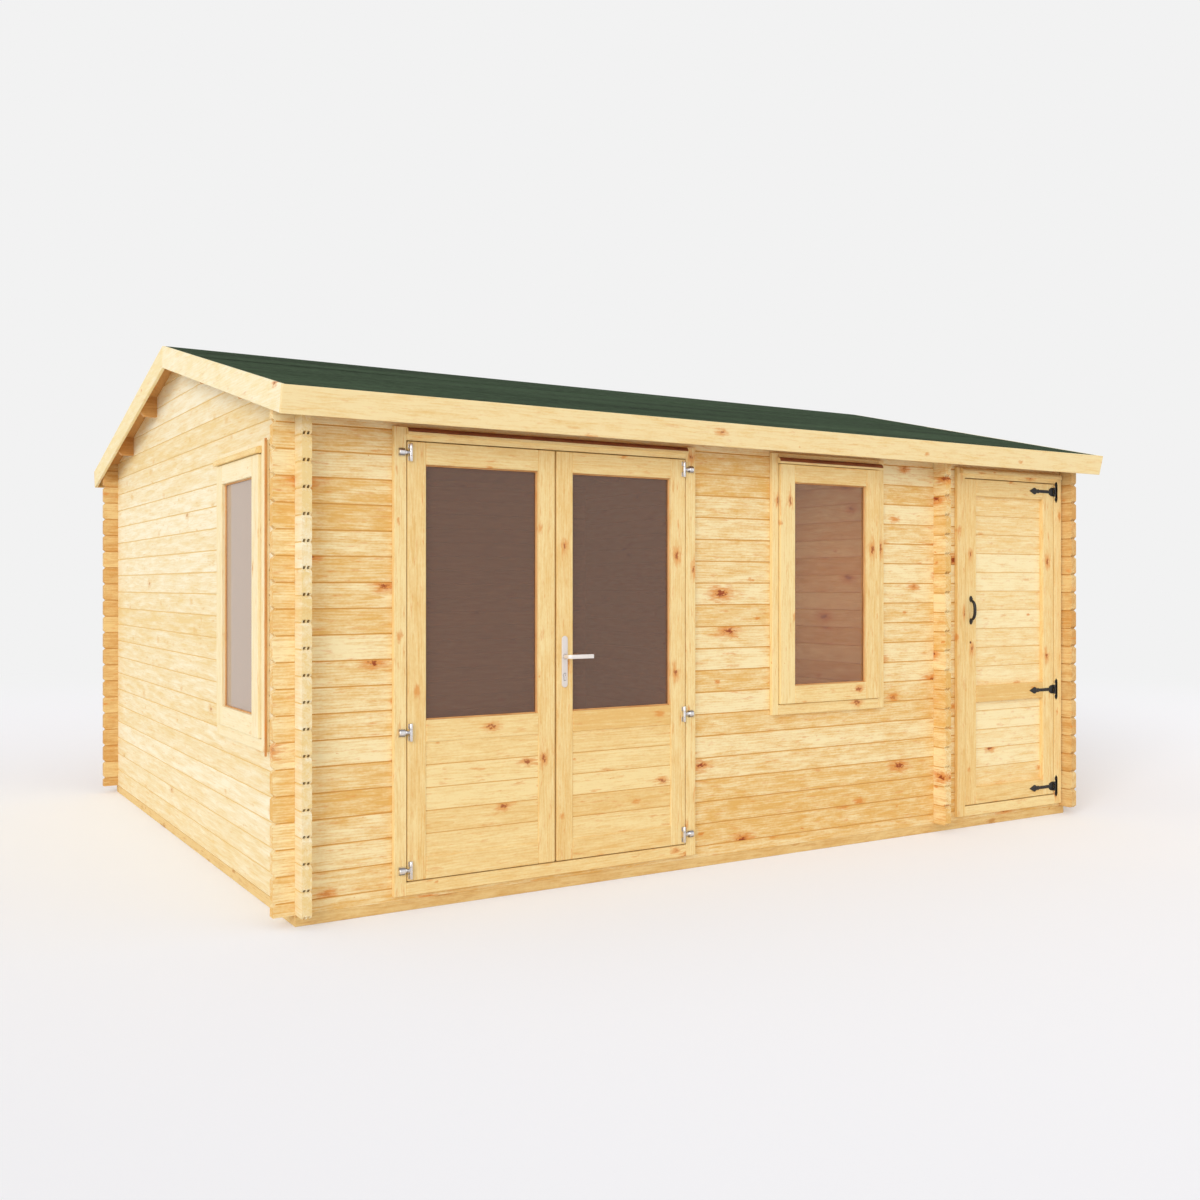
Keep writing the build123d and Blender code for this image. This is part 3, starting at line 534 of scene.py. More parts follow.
@dataclass(frozen=True)
class Softwood(Finish):
    """Spruce or pine, sawn and planed: cloudy honey figure, fine fibres and red-brown knots.

    Pairs of sizes are the length and width of a pattern's marks, in metres.
    """

    pale: str = "#FCEAB8"
    warm: str = "#E8B765"
    spot: str = "#E08C36"
    core: str = "#8E2A10"
    ring: float = 0.012  # real rings are 2 to 5 mm apart, drawn coarser so that they show
    rings: float = 0.36
    ring_wander: Pair = (0.7, 0.12)
    ring_drift: float = 0.05  # how far the rings wander, metres
    ring_power: float = 2.5  # above 1 narrows the dark late wood
    figure: Pair = (0.15, 0.034)
    figure_share: float = 1.9
    fibre: Pair = (0.11, 0.0065)  # real fibres are finer, drawn as coarse as they show
    fibre_share: float = 1.1
    mottle: Pair = (0.016, 0.008)
    mottle_share: float = 0.7
    stain: Pair = (0.10, 0.018)
    stain_share: float = 0.7
    stain_edge: Pair = (0.56, 0.78)
    knot_spacing: Pair = (0.75, 0.118)
    knot_radius: float = 0.050
    knot_share: float = 0.85
    knot_power: float = 3.0  # above 1 makes small knots more common than large ones
    knot_bend: Triple = (0.05, 0.03, 0.0)  # how far their outlines are bent, metres
    bend_scale: float = 34.0  # per metre
    flare_edge: Pair = (0.1, -1.0)
    heart_edge: Pair = (-0.22, -0.55)
    heart_chance: Pair = (0.76, 0.88)  # knots below the first have no dark heart
    knot_squash: float = 0.5  # how much shorter a knot's flare counts along the grain
    tear: Pair = (0.060, 0.009)  # streaks that the flares break into
    chip: Pair = (0.016, 0.009)  # ragged bits round a knot's heart
    raggedness: float = 2.4
    chipping: float = 1.3
    seam: str = "#C08A48"  # painted shade in the joints between boards
    painted_seam_share: float = 0.52
    roughness: float = 0.62
    gloss: float = 0.12  # how much the fibres change the roughness, either way
    bump: float = 0.3

    def noise(self, add: Adder, grain: Any, size: Pair, detail: float) -> Any:
        """Noise stretched along the grain, its marks of some length and width."""
        scaled = add("VectorMath", {0: grain, 1: (size[0], size[1], size[1])}, operation="DIVIDE")
        return add("TexNoise", {"Vector": scaled, "Scale": 1.0, "Detail": detail, "Roughness": 0.6})

    def smooth_step(self, add: Adder, value: Any, between: Pair, share: float) -> Any:
        """A value turned into a soft mask that rises to a share between two edges."""
        reach = {"Value": value, "From Min": between[0], "From Max": between[1], "To Max": share}
        return add("MapRange", reach, interpolation_type="SMOOTHSTEP")

    def growth_rings(self, add: Adder, grain: Any) -> Any:
        """Late wood of the growth rings round the heart, as a value from 0 to 1.

        Args:
            add: adds a node to the material.
            grain: the board's grain vector.

        Returns:
            The value.
        """
        wander = self.noise(add, grain, self.ring_wander, 2.0)
        cross = add("VectorMath", {0: grain, 1: (0.0, 1.0, 1.0)}, operation="MULTIPLY")
        radius = add("VectorMath", {0: cross}, operation="LENGTH")
        swell = add("Math", {0: wander, 1: self.ring_drift, 2: radius}, operation="MULTIPLY_ADD")
        turns = add("Math", {0: swell, 1: self.ring}, operation="DIVIDE")
        tooth = add("Math", {0: turns}, operation="FRACT")
        return add("Math", {0: tooth, 1: self.ring_power}, operation="POWER")

    def knot_masks(self, add: Adder, grain: Any) -> tuple[Any, Any]:
        """Orange flares round the knots, and the dark hearts of the largest.

        Args:
            add: adds a node to the material.
            grain: the board's grain vector.

        Returns:
            Two values, from 0 to 1: the flares and the hearts.
        """
        coarse = {"Vector": grain, "Scale": self.bend_scale, "Detail": 3.0, "Roughness": 0.65}
        bend = {0: add("TexNoise", coarse).outputs["Color"], 1: self.knot_bend, 2: grain}
        spread = add("VectorMath", bend, operation="MULTIPLY_ADD")
        long, wide = self.knot_spacing
        mapped = add("VectorMath", {0: spread, 1: (long, wide, 1.0)}, operation="DIVIDE")
        grid = {"Vector": mapped, "Scale": 1.0, "Randomness": 0.9}
        cells = add("TexVoronoi", grid, voronoi_dimensions="2D", feature="F1")
        away = add("VectorMath", {0: mapped, 1: cells.outputs["Position"]}, operation="SUBTRACT")
        real = add("VectorMath", {0: away, 1: (long * self.knot_squash, wide, 0.0)}, operation="MULTIPLY")
        reach = add("VectorMath", {0: real}, operation="LENGTH")
        chance = add("SeparateColor", {"Color": cells.outputs["Color"]})
        cubed = add("Math", {0: chance, 1: self.knot_power}, operation="POWER")
        radius = add("Math", {0: cubed, 1: self.knot_radius, 2: 0.001}, operation="MULTIPLY_ADD")
        turn = add("Math", {0: reach, 1: radius}, operation="DIVIDE")
        torn, chipped = self.noise(add, grain, self.tear, 4.0), self.noise(add, grain, self.chip, 3.0)
        edge = add("Math", {0: torn, 1: -self.raggedness, 2: turn}, operation="MULTIPLY_ADD")
        rim = add("Math", {0: chipped, 1: -self.chipping, 2: turn}, operation="MULTIPLY_ADD")
        flares, hearts, large = (
            self.smooth_step(add, value, between, share)
            for value, between, share in (
                (edge, self.flare_edge, self.knot_share),
                (rim, self.heart_edge, 1.0),
                (chance, self.heart_chance, self.knot_share),
            )
        )
        return flares, add("Math", {0: hearts, 1: large}, operation="MULTIPLY")

    def surface(self, add: Adder) -> Any:
        """Tone and cloudy figure, then rings, fibres, stains, and knots over them.

        Args:
            add: adds a node to the material.

        Returns:
            The shader.
        """
        grain = add("Attribute", attribute_name="grain").outputs["Vector"]
        tone = add("Attribute", attribute_name="tone").outputs["Fac"]
        fibres = self.noise(add, grain, self.fibre, 2.0)
        stains = self.noise(add, grain, self.stain, 5.0)
        rings = self.growth_rings(add, grain)
        flares, hearts = self.knot_masks(add, grain)
        shade = tone
        for value, share in (
            (self.noise(add, grain, self.figure, 3.0), self.figure_share),
            (fibres, self.fibre_share),
            (self.noise(add, grain, self.mottle, 2.0), self.mottle_share),
            (rings, self.rings),
        ):
            centred = add("Math", {0: value, 1: share, 2: -0.5 * share}, operation="MULTIPLY_ADD")
            shade = add("Math", {0: shade, 1: centred}, operation="ADD")
        mix = {"Factor": add("Clamp", {"Value": shade}), "A": colour(self.pale), "B": colour(self.warm)}
        paint = add("Mix", mix, data_type="RGBA")
        marked = self.smooth_step(add, stains, self.stain_edge, self.stain_share)
        # painted shade in the joints, where the tone runs above its deepest
        reach = {"Value": tone, "From Min": DEEPEST_TONE, "From Max": JOINT_TONE, "To Max": self.painted_seam_share}
        joints = add("MapRange", reach)
        layers = ((marked, self.spot), (flares, self.spot), (hearts, self.core), (joints, self.seam))
        for mask, tint in layers:
            paint = add("Mix", {"Factor": mask, "A": paint, "B": colour(tint)}, data_type="RGBA")
        dull, bright = self.roughness + self.gloss, self.roughness - self.gloss
        reach = {"Value": fibres, "To Min": dull, "To Max": bright}
        relief = add("Math", {0: fibres, 1: rings}, operation="ADD")
        return add(
            "BsdfPrincipled",
            {
                "Base Color": paint,
                "Roughness": add("MapRange", reach),
                "IOR": 1.5,
                "Specular IOR Level": 0.3,
                "Normal": add("Bump", {"Height": relief, "Strength": self.bump, "Distance": 0.001}),
            },
        )


@dataclass(frozen=True)
class MineralFelt(Finish):
    """Bitumen roofing felt with a green mineral surface: fine grit, faint bands of shade."""

    light: str = "#465B42"
    dark: str = "#14200F"
    grit: float = 0.05  # coarsest clusters of grains; the grains are about 1 mm, too fine to show
    bands: Triple = (0.5, 4.5, 4.5)

    def surface(self, add: Adder) -> Any:
        """Grit as a fine cloudy pattern, and slow bands where the rolls were laid.

        Args:
            add: adds a node to the material.

        Returns:
            The shader.
        """
        place = add("TexCoord").outputs["Object"]
        grains = add("TexNoise", {"Vector": place, "Scale": 1 / self.grit, "Detail": 5.0, "Roughness": 0.75})
        stretched = add("VectorMath", {0: place, 1: self.bands}, operation="MULTIPLY")
        bands = add("TexNoise", {"Vector": stretched, "Scale": 1.0, "Detail": 3.0})
        mixed = add("Math", {0: grains, 1: 1.5, 2: -0.75}, operation="MULTIPLY_ADD")
        share = add("Math", {0: mixed, 1: bands}, operation="ADD", use_clamp=True)
        mix = {"Factor": share, "A": colour(self.dark), "B": colour(self.light)}
        return add(
            "BsdfPrincipled",
            {
                "Base Color": add("Mix", mix, data_type="RGBA"),
                "Roughness": 0.95,
                "Specular IOR Level": 0.06,
                "Normal": add("Bump", {"Height": grains, "Strength": 0.6, "Distance": 0.002}),
            },
        )


@dataclass(frozen=True)
class TintedGlass(Finish):
    """Float glass with a brown tint: the dim room shows through, with the sky's reflection over it, and a
    lit diffuse layer that paints the room's light behind the pane.
    """

    light: str = "#E6D4C4"
    dark: str = "#D8C0AE"
    # colours of the diffuse layer: painted light standing in for the lit room behind the pane
    painted_room_warm: str = "#B48868"
    painted_room_pale: str = "#DCC6B2"
    painted_room_share: float = 0.62  # how much a fully painted pane hides of the room
    reflection: float = 1.62  # stands for both faces of the pane

    def surface(self, add: Adder) -> Any:
        """Clear tint and a painted-light layer mixed with a sharp reflection that grows towards grazing.

        Args:
            add: adds a node to the material.

        Returns:
            The shader.
        """
        place = add("TexCoord").outputs["Object"]
        painted_room_light = add("Attribute", attribute_name="tone").outputs["Fac"]
        drift = add("TexNoise", {"Vector": place, "Scale": 1.7, "Detail": 1.0})
        tint, painted_room_colour = (
            add("Mix", {"Factor": share, "A": colour(first), "B": colour(second)}, data_type="RGBA")
            for share, first, second in (
                (drift, self.dark, self.light),
                (painted_room_light, self.painted_room_warm, self.painted_room_pale),
            )
        )
        clear = add("BsdfTransparent", {"Color": tint})
        painted_room_layer = add("BsdfDiffuse", {"Color": painted_room_colour})
        share = add("Math", {0: painted_room_light, 1: self.painted_room_share}, operation="MULTIPLY")
        body = add("MixShader", {0: share, 1: clear, 2: painted_room_layer})
        shine = add("BsdfGlossy", {"Roughness": 0.02})
        grazing = add("Fresnel", {"IOR": self.reflection})
        outer = add("Math", {0: 1.0, 1: add("NewGeometry").outputs["Backfacing"]}, operation="SUBTRACT")
        gloss = add("Math", {0: grazing, 1: outer}, operation="MULTIPLY")
        return add("MixShader", {0: gloss, 1: body, 2: shine})


@dataclass(frozen=True)
class PlatedMetal(Finish):
    """Metal with a plated or lacquered skin, faintly uneven where it was dipped and rubbed."""

    light: str
    dark: str
    metallic: float = 1.0
    roughness: float = 0.28
    mottle: float = 0.02  # size of the uneven patches, metres

    def surface(self, add: Adder) -> Any:
        """A slow mottle in colour and gloss.

        Args:
            add: adds a node to the material.

        Returns:
            The shader.
        """
        place = add("TexCoord").outputs["Object"]
        tone = add("Attribute", attribute_name="tone").outputs["Fac"]
        mottle = add("TexNoise", {"Vector": place, "Scale": 1 / self.mottle, "Detail": 4.0})
        # the tone attribute adds to the mottle; on the hinge sockets it is painted highlight and shade
        mottle_and_painted_tone = add("Math", {0: mottle, 1: 0.3, 2: tone}, operation="MULTIPLY_ADD", use_clamp=True)
        mix = {"Factor": mottle_and_painted_tone, "A": colour(self.light), "B": colour(self.dark)}
        reach = {"Value": mottle, "To Min": self.roughness - 0.1, "To Max": self.roughness + 0.12}
        return add(
            "BsdfPrincipled",
            {
                "Base Color": add("Mix", mix, data_type="RGBA"),
                "Metallic": self.metallic,
                "Roughness": add("MapRange", reach),
            },
        )


# Planed spruce logs, untreated: honey coloured and cloudy, with scattered red-brown knots
RAW_LOGS = Softwood("planed_spruce_logs")
# A paler copy of the log finish for the left wall and its gable: painted light for the stronger lamp on that
# side
LIT_LOGS = Softwood(
    "spruce_logs_painted_light",
    pale="#FCF2D4",
    warm="#F0D393",
    rings=0.16,
    spot="#E9BE72",
    core="#B8602C",
    seam="#D9B272",
    painted_seam_share=0.28,
    stain_share=0.75,
    figure=(0.26, 0.030),
    figure_share=2.0,
    fibre_share=0.9,
    mottle_share=0.25,
    knot_spacing=(0.9, 0.13),
    knot_radius=0.034,
    knot_share=0.6,
    heart_chance=(0.93, 0.98),
)
# A redder, darker log finish in the walls that show only their log ends; its darkness partly paints the
# shade on those ends
SHADED_WARM_LOGS = Softwood("warm_spruce_logs_painted_shade", pale="#EED094", warm="#D49E56", knot_share=0.7)
# Planed redwood joinery, finer and calmer than the logs
JOINERY = Softwood(
    "planed_redwood_joinery",
    pale="#FAE2A6",
    warm="#EBC076",
    figure_share=1.4,
    knot_spacing=(0.6, 0.09),
    knot_radius=0.032,
    knot_share=0.7,
)
# Thin panel boards of the store door, paler, with orange flecks
PANELS = Softwood(
    "planed_redwood_panels",
    pale="#FEEDBC",
    warm="#F2CC86",
    figure_share=1.7,
    stain=(0.09, 0.03),
    stain_share=0.5,
    knot_spacing=(0.6, 0.11),
    knot_radius=0.032,
    knot_share=0.8,
)
# The side window's timber, a paler copy of the joinery finish: painted light, as on the left wall's logs
LIT_JOINERY = Softwood(
    "redwood_joinery_painted_light",
    pale="#FBEDC6",
    warm="#F4DCA2",
    spot="#E8B468",
    core="#B8602C",
    figure_share=1.4,
    knot_spacing=(0.9, 0.12),
    knot_radius=0.028,
    knot_share=0.6,
)
# Slim beads round the glass in orange heartwood, darker than the joinery; their darker tone partly paints
# the shade along the glass edges
SHADED_BEAD = Softwood("heartwood_beads_painted_shade", pale="#E2AC70", warm="#C98A50", knot_share=0.3)
# Painted shade: dark red-brown on the rounded tops of the front drips, for the shadow under the fascia
DRIP_TOP_SHADE = Softwood("drip_tops_painted_shade", pale="#9A5A34", warm="#6A3420", spot="#7A3A20", knot_share=0.2)
# Planed spruce trim boards, pale, with few marks
TRIM = Softwood(
    "planed_spruce_trim",
    pale="#FAE3AC",
    warm="#EFC87F",
    stain_share=0.35,
    knot_spacing=(0.8, 0.16),
    knot_radius=0.030,
    knot_share=0.7,
)
# The bargeboards, in a paler copy of the trim finish: painted light, because the left one is brightly lit
LIT_TRIM = Softwood(
    "spruce_trim_painted_light",
    pale="#FDF3D4",
    warm="#F5E0A8",
    spot="#E8A868",
    stain_share=0.5,
    knot_spacing=(0.8, 0.16),
    knot_radius=0.030,
    knot_share=0.8,
)
# Purlins in a darker orange: painted shade for the shadow under the eaves
SHADED_PURLINS = Softwood(
    "purlins_painted_shade", pale="#E2B06E", warm="#C98C48", stain_share=0.35, knot_share=0.5
)
# Sawn boards of the roof, darker and more golden: painted shade for their undersides under the eaves
SHADED_DECKING = Softwood("roof_boards_painted_shade", pale="#D8A260", warm="#BA8042", roughness=0.75)
# Sawn spruce floor boards
FLOOR_TIMBER = Softwood("sawn_spruce_boards", pale="#F2DAA6", warm="#E0B878", roughness=0.75)
# Sawn, pressure treated bearers: duller and browner
BASE_TIMBER = Softwood("treated_bearers", pale="#EDCE90", warm="#DBAC64", spot="#C98C46", roughness=0.8)
FELT = MineralFelt("green_mineral_felt")
GLASS = TintedGlass("brown_float_glass")
# Zinc plated steel, bright and a little cloudy
STEEL = PlatedMetal("bright_zinc_plated_steel", light="#FAF8F8", dark="#8C8A90", roughness=0.30, mottle=0.06)
# Satin anodised aluminium: even, pale and soft in its gloss
SATIN = PlatedMetal(
    "satin_anodised_aluminium", light="#F8F2EE", dark="#D8D0CC", metallic=0.4, roughness=0.45, mottle=0.09
)
# Dark brown metal with a little gloss for the keyhole ring; its darkness partly paints the shade in the
# keyhole
DARK_KEYHOLE_METAL = PlatedMetal("keyhole_metal_painted_shade", light="#8C5836", dark="#5E3420", metallic=0.5, roughness=0.45)
# Black stoved lacquer on pressed iron: a soft, low gloss
IRON = PlatedMetal("black_lacquered_iron", light="#2A2624", dark="#191716", metallic=0.0, roughness=0.42)


# ---- Log walls ----------------------------------------------------------------------------
def in_wall(axis: int, along: float, across: float, up: float) -> Vector:
    """A place or direction along, across and up a wall that runs on X (axis 0) or Y (axis 1)."""
    return Vector((across, along, up) if axis else (along, across, up))


def slope_normal(side: int) -> Vector:
    """Outward direction of a roof slope: side is -1 for the front slope, 1 for the rear."""
    return Vector((0.0, side * math.sin(PITCH), math.cos(PITCH)))


@dataclass
class LogWalls:
    """Interlocking square logs: double tongues and grooves, notched crossings, bevelled ends."""

    thickness: float = 44.0
    course: float = 114.0
    vee: float = 4.0
    end_bevel: float = 14.0
    play: float = 0.3
    tongue_offset: float = 9.0  # tongue centres from the log's mid-thickness
    tongue_half: float = 3.5
    tongue_height: float = 8.0
    tongue_stop: float = 35.0  # tongues stop this far short of a free end
    groove_half: float = 5.5
    groove_depth: float = 13.0
    slack: float = 1.0  # heights and ends nearer than this meet
    tones: Pair = (0.15, 0.85)
    ridge_under: float = field(default_factory=lambda: box_of("purlins").high.z)
    # finish of each wall: the left wall's paler copy paints light, and the back and right walls' darker copy
    # partly paints shade
    wall_finishes_lit_and_shaded: dict[str, Softwood] = field(
        default_factory=lambda: {"left": LIT_LOGS, "back": SHADED_WARM_LOGS, "right": SHADED_WARM_LOGS}
    )
    walls: tuple[tuple[str, int, tuple[str, ...]], ...] = (
        (
            "front",
            0,
            (
                *("front_wall_base", "front_wall_left", "front_wall_middle", "front_wall_under_window"),
                *("front_wall_right", "front_wall_end", "front_wall_top"),
            ),
        ),
        ("back", 0, ("back_wall",)),
        ("left", 1, ("left_wall_lower", "left_wall_front", "left_wall_rear", "left_gable")),
        ("partition", 1, ("partition_wall",)),
        ("right", 1, ("right_wall",)),
    )

    def section(self) -> Outline:
        """Outline of one log as (through the wall, height above its seam), starting low outside."""
        wide, high, vee, out = self.thickness, self.course, self.vee, self.tongue_offset
        points = [(0.0, vee), (vee, 0.0)]
        for centre in (wide / 2 - out, wide / 2 + out):
            near, far = centre - self.groove_half, centre + self.groove_half
            points += [(near, 0.0), (near, self.groove_depth), (far, self.groove_depth), (far, 0.0)]
        points += [(wide - vee, 0.0), (wide, vee), (wide, high - vee), (wide - vee, high)]
        for centre in (wide / 2 + out, wide / 2 - out):
            near, far = centre + self.tongue_half, centre - self.tongue_half
            top = high + self.tongue_height
            points += [(near, high), (near, top), (far, top), (far, high)]
        return points + [(vee, high), (0.0, high - vee)]

    def make_log(
        self,
        axis: int,
        run: Pair,
        seam: float,
        face: float,
        inward: int,
        free: tuple[bool, bool],
        crossings: list[float],
    ) -> Mesh:
        """One log, extruded station by station past each crossing.

        Args:
            axis: 0 for a log along X, 1 along Y.
            run: where it starts and ends on that axis.
            seam: height of the joint under it.
            face: where the wall's outer face lies on the other axis.
            inward: 1 or -1, the direction from the outer face into the wall.
            free: whether its start and its end run free, with bevels.
            crossings: where each crossing log starts on the log's axis.

        Returns:
            The log as a new bmesh.
        """
        part = bmesh.new()
        start, end = run
        ring = [
            part.verts.new(in_wall(axis, start, face + inward * through, seam + height))
            for through, height in self.section()
        ]
        cap = part.faces.new(ring)
        heights = [vert.co.z for vert in ring]
        top, notch = seam + self.course, self.course / 4
        stops = []
        if free[0]:
            for vert in ring:
                vert.co.z = min(vert.co.z, top)
            stops.append((start + self.tongue_stop, -math.inf, math.inf))
        for crossing in crossings:
            neck = (seam + notch + self.play / 2, seam + 3 * notch - self.play / 2)
            stops.append((crossing - self.play, *neck))
            stops.append((crossing + self.thickness + self.play, -math.inf, math.inf))
        if free[1]:
            stops.append((end - self.tongue_stop, -math.inf, top))
        at = start
        for place, low, high in stops:
            cap = self.grow(part, cap, axis, place - at)
            cap = self.grow(part, cap, axis, 0.0)
            for vert, height in zip(cap.verts, heights):
                vert.co.z = min(max(height, low), high)
            at = place
        self.grow(part, cap, axis, end - at)
        part.faces.new(ring)
        bmesh.ops.recalc_face_normals(part, faces=part.faces)
        for place, outward, runs_free in ((start, -1.0, free[0]), (end, 1.0, free[1])):
            for tilt, height in ((-1.0, seam + self.end_bevel), (1.0, top - self.end_bevel)):
                if runs_free:
                    saw(part, in_wall(axis, place, 0.0, height), in_wall(axis, outward, 0.0, tilt))
        return part

    @staticmethod
    def grow(part: Mesh, cap: Any, axis: int, distance: float) -> Any:
        """Extrude a log's end face along its axis, and give back the new end face."""
        grown = bmesh.ops.extrude_discrete_faces(part, faces=[cap])["faces"][0]
        bmesh.ops.translate(part, vec=offset(axis, distance), verts=grown.verts)
        return grown

    def under_roof(self, part: Mesh) -> None:
        """Saw a log to the underside of the roof boards on both slopes."""
        ridge = Vector((0.0, 0.0, self.ridge_under))
        for normal in (slope_normal(-1), slope_normal(1)):
            if part.verts and max((vert.co - ridge).dot(normal) for vert in part.verts) > 0.01:
                saw(part, ridge, normal)

    def spans(self, boxes: list[Box], axis: int, low: float) -> list[list[float]]:
        """Where the logs of one course run, with touching lengths joined.

        Args:
            boxes: boxes of the wall's nodes.
            axis: the wall's axis.
            low: height of the course's underside.

        Returns:
            Start and end of each log.
        """
        joined: list[list[float]] = []
        under, over = low + self.course - self.slack, low + self.slack
        found = [box for box in boxes if box.low.z < under and box.high.z > over]
        for box in sorted(found, key=lambda item: item.low[axis]):
            if joined and box.low[axis] - joined[-1][1] < self.slack:
                joined[-1][1] = max(joined[-1][1], box.high[axis])
            else:
                joined.append([box.low[axis], box.high[axis]])
        return joined

    def wall(self, name: str, axis: int, nodes: tuple[str, ...], rows: list[float], seed: int) -> None:
        """All logs of one wall, as one piece.

        Args:
            name: the wall's name.
            axis: 0 for a wall along X, 1 along Y.
            nodes: the nodes that it stands for.
            rows: where the crossing walls start on that axis.
            seed: start of the wall's random grain.
        """
        boxes = [box_of(node) for node in nodes]
        piece = Piece(f"logs_{name}_wall", seed)
        outward = 1 if name in ("back", "right") else -1
        face = boxes[0].low[1 - axis] if outward < 0 else boxes[0].high[1 - axis]
        ground = min(box.low.z for box in boxes)
        whole = box_of("right_wall" if axis else "back_wall")
        seam = box_of("left_wall_lower").low.z if axis else box_of("front_wall_base").high.z - self.course
        while seam < max(box.high.z for box in boxes) - self.slack:
            for start, end in self.spans(boxes, axis, seam):
                free = (abs(start - whole.low[axis]) < 1, abs(end - whole.high[axis]) < 1)
                inside = [row for row in rows if start < row - 1 and row + self.thickness < end - 1]
                part = self.make_log(axis, (start, end), seam, face, -outward, free, inside)
                if seam < ground - self.slack:
                    saw(part, Vector((0, 0, ground)), Vector((0, 0, -1)))
                self.under_roof(part)
                if part.faces:
                    piece.add(part, Lie.ALONG_Y if axis else Lie.ALONG_X, self.tones, joints=True)
            seam += self.course
        piece.done("cabin", "raw_logs", self.wall_finishes_lit_and_shaded.get(name, RAW_LOGS), nodes)

    def build(self) -> None:
        """Every wall."""
        sides = [box_of(node).low.x for node in ("left_gable", "partition_wall", "right_wall")]
        rows = [box_of(node).low.y for node in ("front_wall_base", "back_wall")]
        for step, (name, axis, nodes) in enumerate(self.walls):
            self.wall(name, axis, nodes, rows if axis else sides, 100 + step)


# ---- Base ---------------------------------------------------------------------------------
@dataclass
class Base:
    """Bearers, joists and floor boards."""

    floor_board: float = 120.0
    floor_gap: float = 1.0
    floor_arris: float = 1.2
    arris: float = 2.0

    def build(self) -> None:
        """Bearers and joists as sawn timbers, and the floor as separate boards."""
        for name, lie, seed in (
            ("long_bearers", Lie.ALONG_X, 11),
            ("cross_bearers", Lie.ALONG_Y, 12),
            ("floor_joists", Lie.ALONG_Y, 13),
        ):
            piece = Piece(f"sawn_{name}", seed)
            for solid in solids_of(name):
                piece.add(board(solid.low, solid.high, self.arris), lie)
            piece.done("cabin", "base_timber", BASE_TIMBER, (name,))
        piece = Piece("laid_floor_boards", 14)
        for solid in solids_of("floor_boards"):
            low, high, gap = solid.low, solid.high, self.floor_gap / 2
            count = round((high.y - low.y) / self.floor_board)
            step = (high.y - low.y) / count
            for row in range(count):
                near = (low.x, low.y + row * step + gap, low.z)
                far = (high.x, low.y + (row + 1) * step - gap, high.z)
                piece.add(board(near, far, self.floor_arris), Lie.FLAT_ALONG_X)
        piece.done("cabin", "floor_timber", FLOOR_TIMBER, ("floor_boards",))


